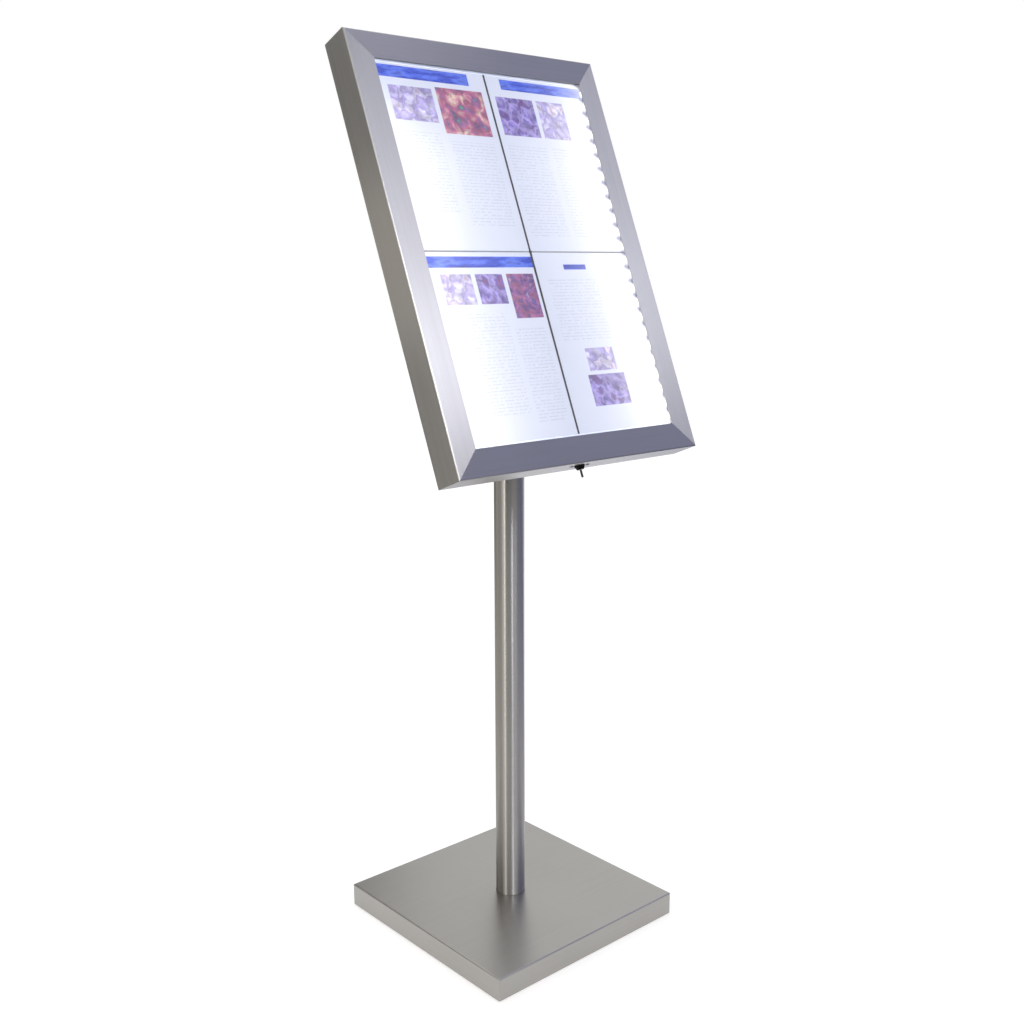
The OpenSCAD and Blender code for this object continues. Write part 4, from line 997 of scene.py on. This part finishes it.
# Studio: white floor and surround, soft lamps, and grey flags round the floor that only the metal sees
studio = {
    "floorRadius": 14.0,
    "floorPaint": 0.5,
    "floorShine": (0.565, 0.74),  # beside the object and far from it
    "shineReach": (0.7, 3.5),
    "ambient": 0.6,
    "distance": 2.6,  # of the lamps from the post
    "behind": 0.1,  # how far the flags' walls stand behind them
    "matHeight": 0.002,
    "leastKick": 0.003,
    "unseen": ("cameraSoft",),  # lamps that the metal doesn't mirror
    "glossOnly": ("postStrip",),  # lamps that only the metal sees
    # direction, height, width, tallness, brightness, colour
    "lamps": {
        "leftStrip": (-168, 1.2, 0.34, 2.4, 3.2, "fff6ea"),
        "postStrip": (-108, 2.8, 0.24, 1.4, 54.0, "f2f3ff"),
        "cameraSoft": (-138, 3.0, 2.4, 2.0, 4.0, "fff6ea"),
        "frontSoft": (-78, 2.72, 1.2, 0.62, 6.6, "e8ecff"),
        "frontHigh": (-78, 3.9, 1.2, 1.4, 2.4, "e8ecff"),
        "rightSoft": (2, 2.4, 1.2, 1.6, 1.0, "d6dcff"),
        "leftGlow": (125, 1.1, 0.8, 0.6, 1.1, "fff6ea"),
    },
    # direction, spread, nearest edge on the floor, how far the floor runs up the wall, top of the wall,
    # tones of the floor part and the wall, colour
    "flags": {
        "leftFlag": (115, 110, 0.5, 0.0, 2.4, 0.95, 0.23, "fffaf4"),
        "stripeMat": (-168, 14, 0.3, 0.0, 0.01, 1.5, 0.05, "fff6ea"),
        "cameraFlag": (-145, 30, 1.0, 0.0, 0.9, 0.2, 0.05, "f2f3ff"),
        "stripFlag": (-119, 22, 0.45, 0.06, 0.9, 0.5, 0.06, "f2f3ff"),
        "frontFlag": (-89, 38, 1.0, 0.0, 1.1, 0.6, 0.22, "f2f3ff"),
        "rightFlag": (-33, 74, 1.0, 1.3, 6.6, 0.40, 0.84, "d2d6ff"),
        "backFlag": (37, 44, 0.9, 0.0, 0.6, 1.8, 0.40, "f2f3ff"),
    },
    "top": (0.75, 2.6, 1.8, 1.6),  # set back, height, side and brightness of the lamp overhead
}


def seenDirectly(tree):
    # rays from the camera, off metal and through the pane see the studio as white
    rays = addNode(tree, "LightPath").outputs
    seen = calc(tree, "MAXIMUM", rays["Is Camera Ray"], rays["Is Glossy Ray"])
    return calc(tree, "MAXIMUM", seen, rays["Is Transmission Ray"])


def stageMaterial(name):
    material = bpy.data.materials.new(name)
    material.use_nodes = True
    material.node_tree.nodes.clear()
    return material, material.node_tree


def floorFinish():
    material, tree = stageMaterial("studioFloor")
    place = objectPlace(tree)
    grain = noise(tree, place, 3.0)
    tones = [(studio["floorPaint"] + more,) * 3 + (1,) for more in (0.0, 0.02)]
    paint = blendColours(tree, grain, *tones)
    matt = addNode(tree, "BsdfDiffuse", {"Color": paint})
    away = addNode(tree, "VectorMath", {0: place}, operation="LENGTH").outputs["Value"]
    level = stretch(tree, away, *studio["shineReach"], *studio["floorShine"], True)
    shine = addNode(tree, "Emission", {"Strength": calc(tree, "MULTIPLY", seenDirectly(tree), level)})
    both = addNode(tree, "AddShader", {0: matt.outputs[0], 1: shine.outputs[0]})
    addNode(tree, "OutputMaterial", {0: both.outputs[0]})
    return material


def flagFinish(name, level, colour):
    material, tree = stageMaterial(name)
    shine = addNode(tree, "Emission", {"Color": screen(colour), "Strength": level})
    addNode(tree, "OutputMaterial", {0: shine.outputs[0]})
    return material


def facingPost(azimuth, height):
    # a place on a circle round the post, turned to face it
    angle = math.radians(azimuth)
    place = Vector((math.cos(angle), math.sin(angle), 0)) * studio["distance"] + Vector((0, 0, height))
    aim = (Vector((0, 0, height)) - place).to_track_quat("-Z", "Y").to_matrix().to_4x4()
    return Matrix.Translation(place) @ aim


def addLamp(name, matrix, width, tall, brightness, colour):
    data = bpy.data.lights.new(name, "AREA")
    data.shape = "RECTANGLE"
    data.size, data.size_y = width, tall
    data.energy = brightness * math.pi * width * tall
    data.color = screen(colour)[:3]
    lamp = bpy.data.objects.new(name, data)
    bpy.context.scene.collection.objects.link(lamp)
    lamp.matrix_world = matrix
    lamp.visible_camera = False
    lamp.visible_glossy = name not in studio["unseen"]
    lamp.visible_diffuse = lamp.visible_transmission = name not in studio["glossOnly"]


def stagePiece(name, shape, material):
    mesh = bpy.data.meshes.new(name)
    shape.to_mesh(mesh)
    shape.free()
    mesh.materials.append(material)
    piece = bpy.data.objects.new(name, mesh)
    bpy.context.scene.collection.objects.link(piece)
    return piece


def addFlag(name, azimuth, spread, near, kick, top, floorTone, wallTone, colour):
    # a mat on the floor, which may run up the wall behind it, and that wall
    wall, mat = studio["distance"] + studio["behind"], studio["matHeight"]
    kick = max(kick, studio["leastKick"])
    for part, ends, tone in (("Mat", ((near, 0, mat), (wall, 0, mat), (wall, 0, kick)), floorTone),
                             ("Wall", ((wall, 0, kick), (wall, 0, top)), wallTone)):
        flag = bmesh.new()
        points = [flag.verts.new(place) for place in ends]
        edges = [flag.edges.new(pair) for pair in zip(points, points[1:])]
        turn = Matrix.Rotation(math.radians(azimuth - spread / 2), 3, "Z")
        bmesh.ops.rotate(flag, matrix=turn, verts=points)
        bmesh.ops.spin(flag, geom=points + edges, axis=(0, 0, 1), cent=(0, 0, 0),
                       angle=math.radians(spread), steps=24)
        piece = stagePiece(name + part, flag, flagFinish(name + part, tone, colour))
        for ray in ("camera", "diffuse", "transmission", "shadow", "volume_scatter"):
            setattr(piece, "visible_" + ray, False)


def buildStudio():
    disc = bmesh.new()
    bmesh.ops.create_circle(disc, cap_ends=True, segments=64, radius=studio["floorRadius"])
    stagePiece("studioFloor", disc, floorFinish())
    for name, flag in studio["flags"].items():
        addFlag(name, *flag)
    for name, (azimuth, height, width, tall, brightness, colour) in studio["lamps"].items():
        addLamp(name, facingPost(azimuth, height), width, tall, brightness, colour)
    setBack, height, width, brightness = studio["top"]
    addLamp("topSoft", Matrix.Translation((0, setBack, height)), width, width, brightness, "ffffff")
    world = bpy.data.worlds.new("studioWorld")
    bpy.context.scene.world = world
    world.use_nodes = True
    tree = world.node_tree
    tree.nodes.clear()
    level = stretch(tree, seenDirectly(tree), 0.0, 1.0, studio["ambient"], 1.0)
    sky = addNode(tree, "Background", {"Color": screen("ffffff"), "Strength": level})
    addNode(tree, "OutputWorld", {0: sky.outputs[0]})


buildStudio()
bpy.context.scene.view_settings.view_transform = "Standard"
print("studio built")
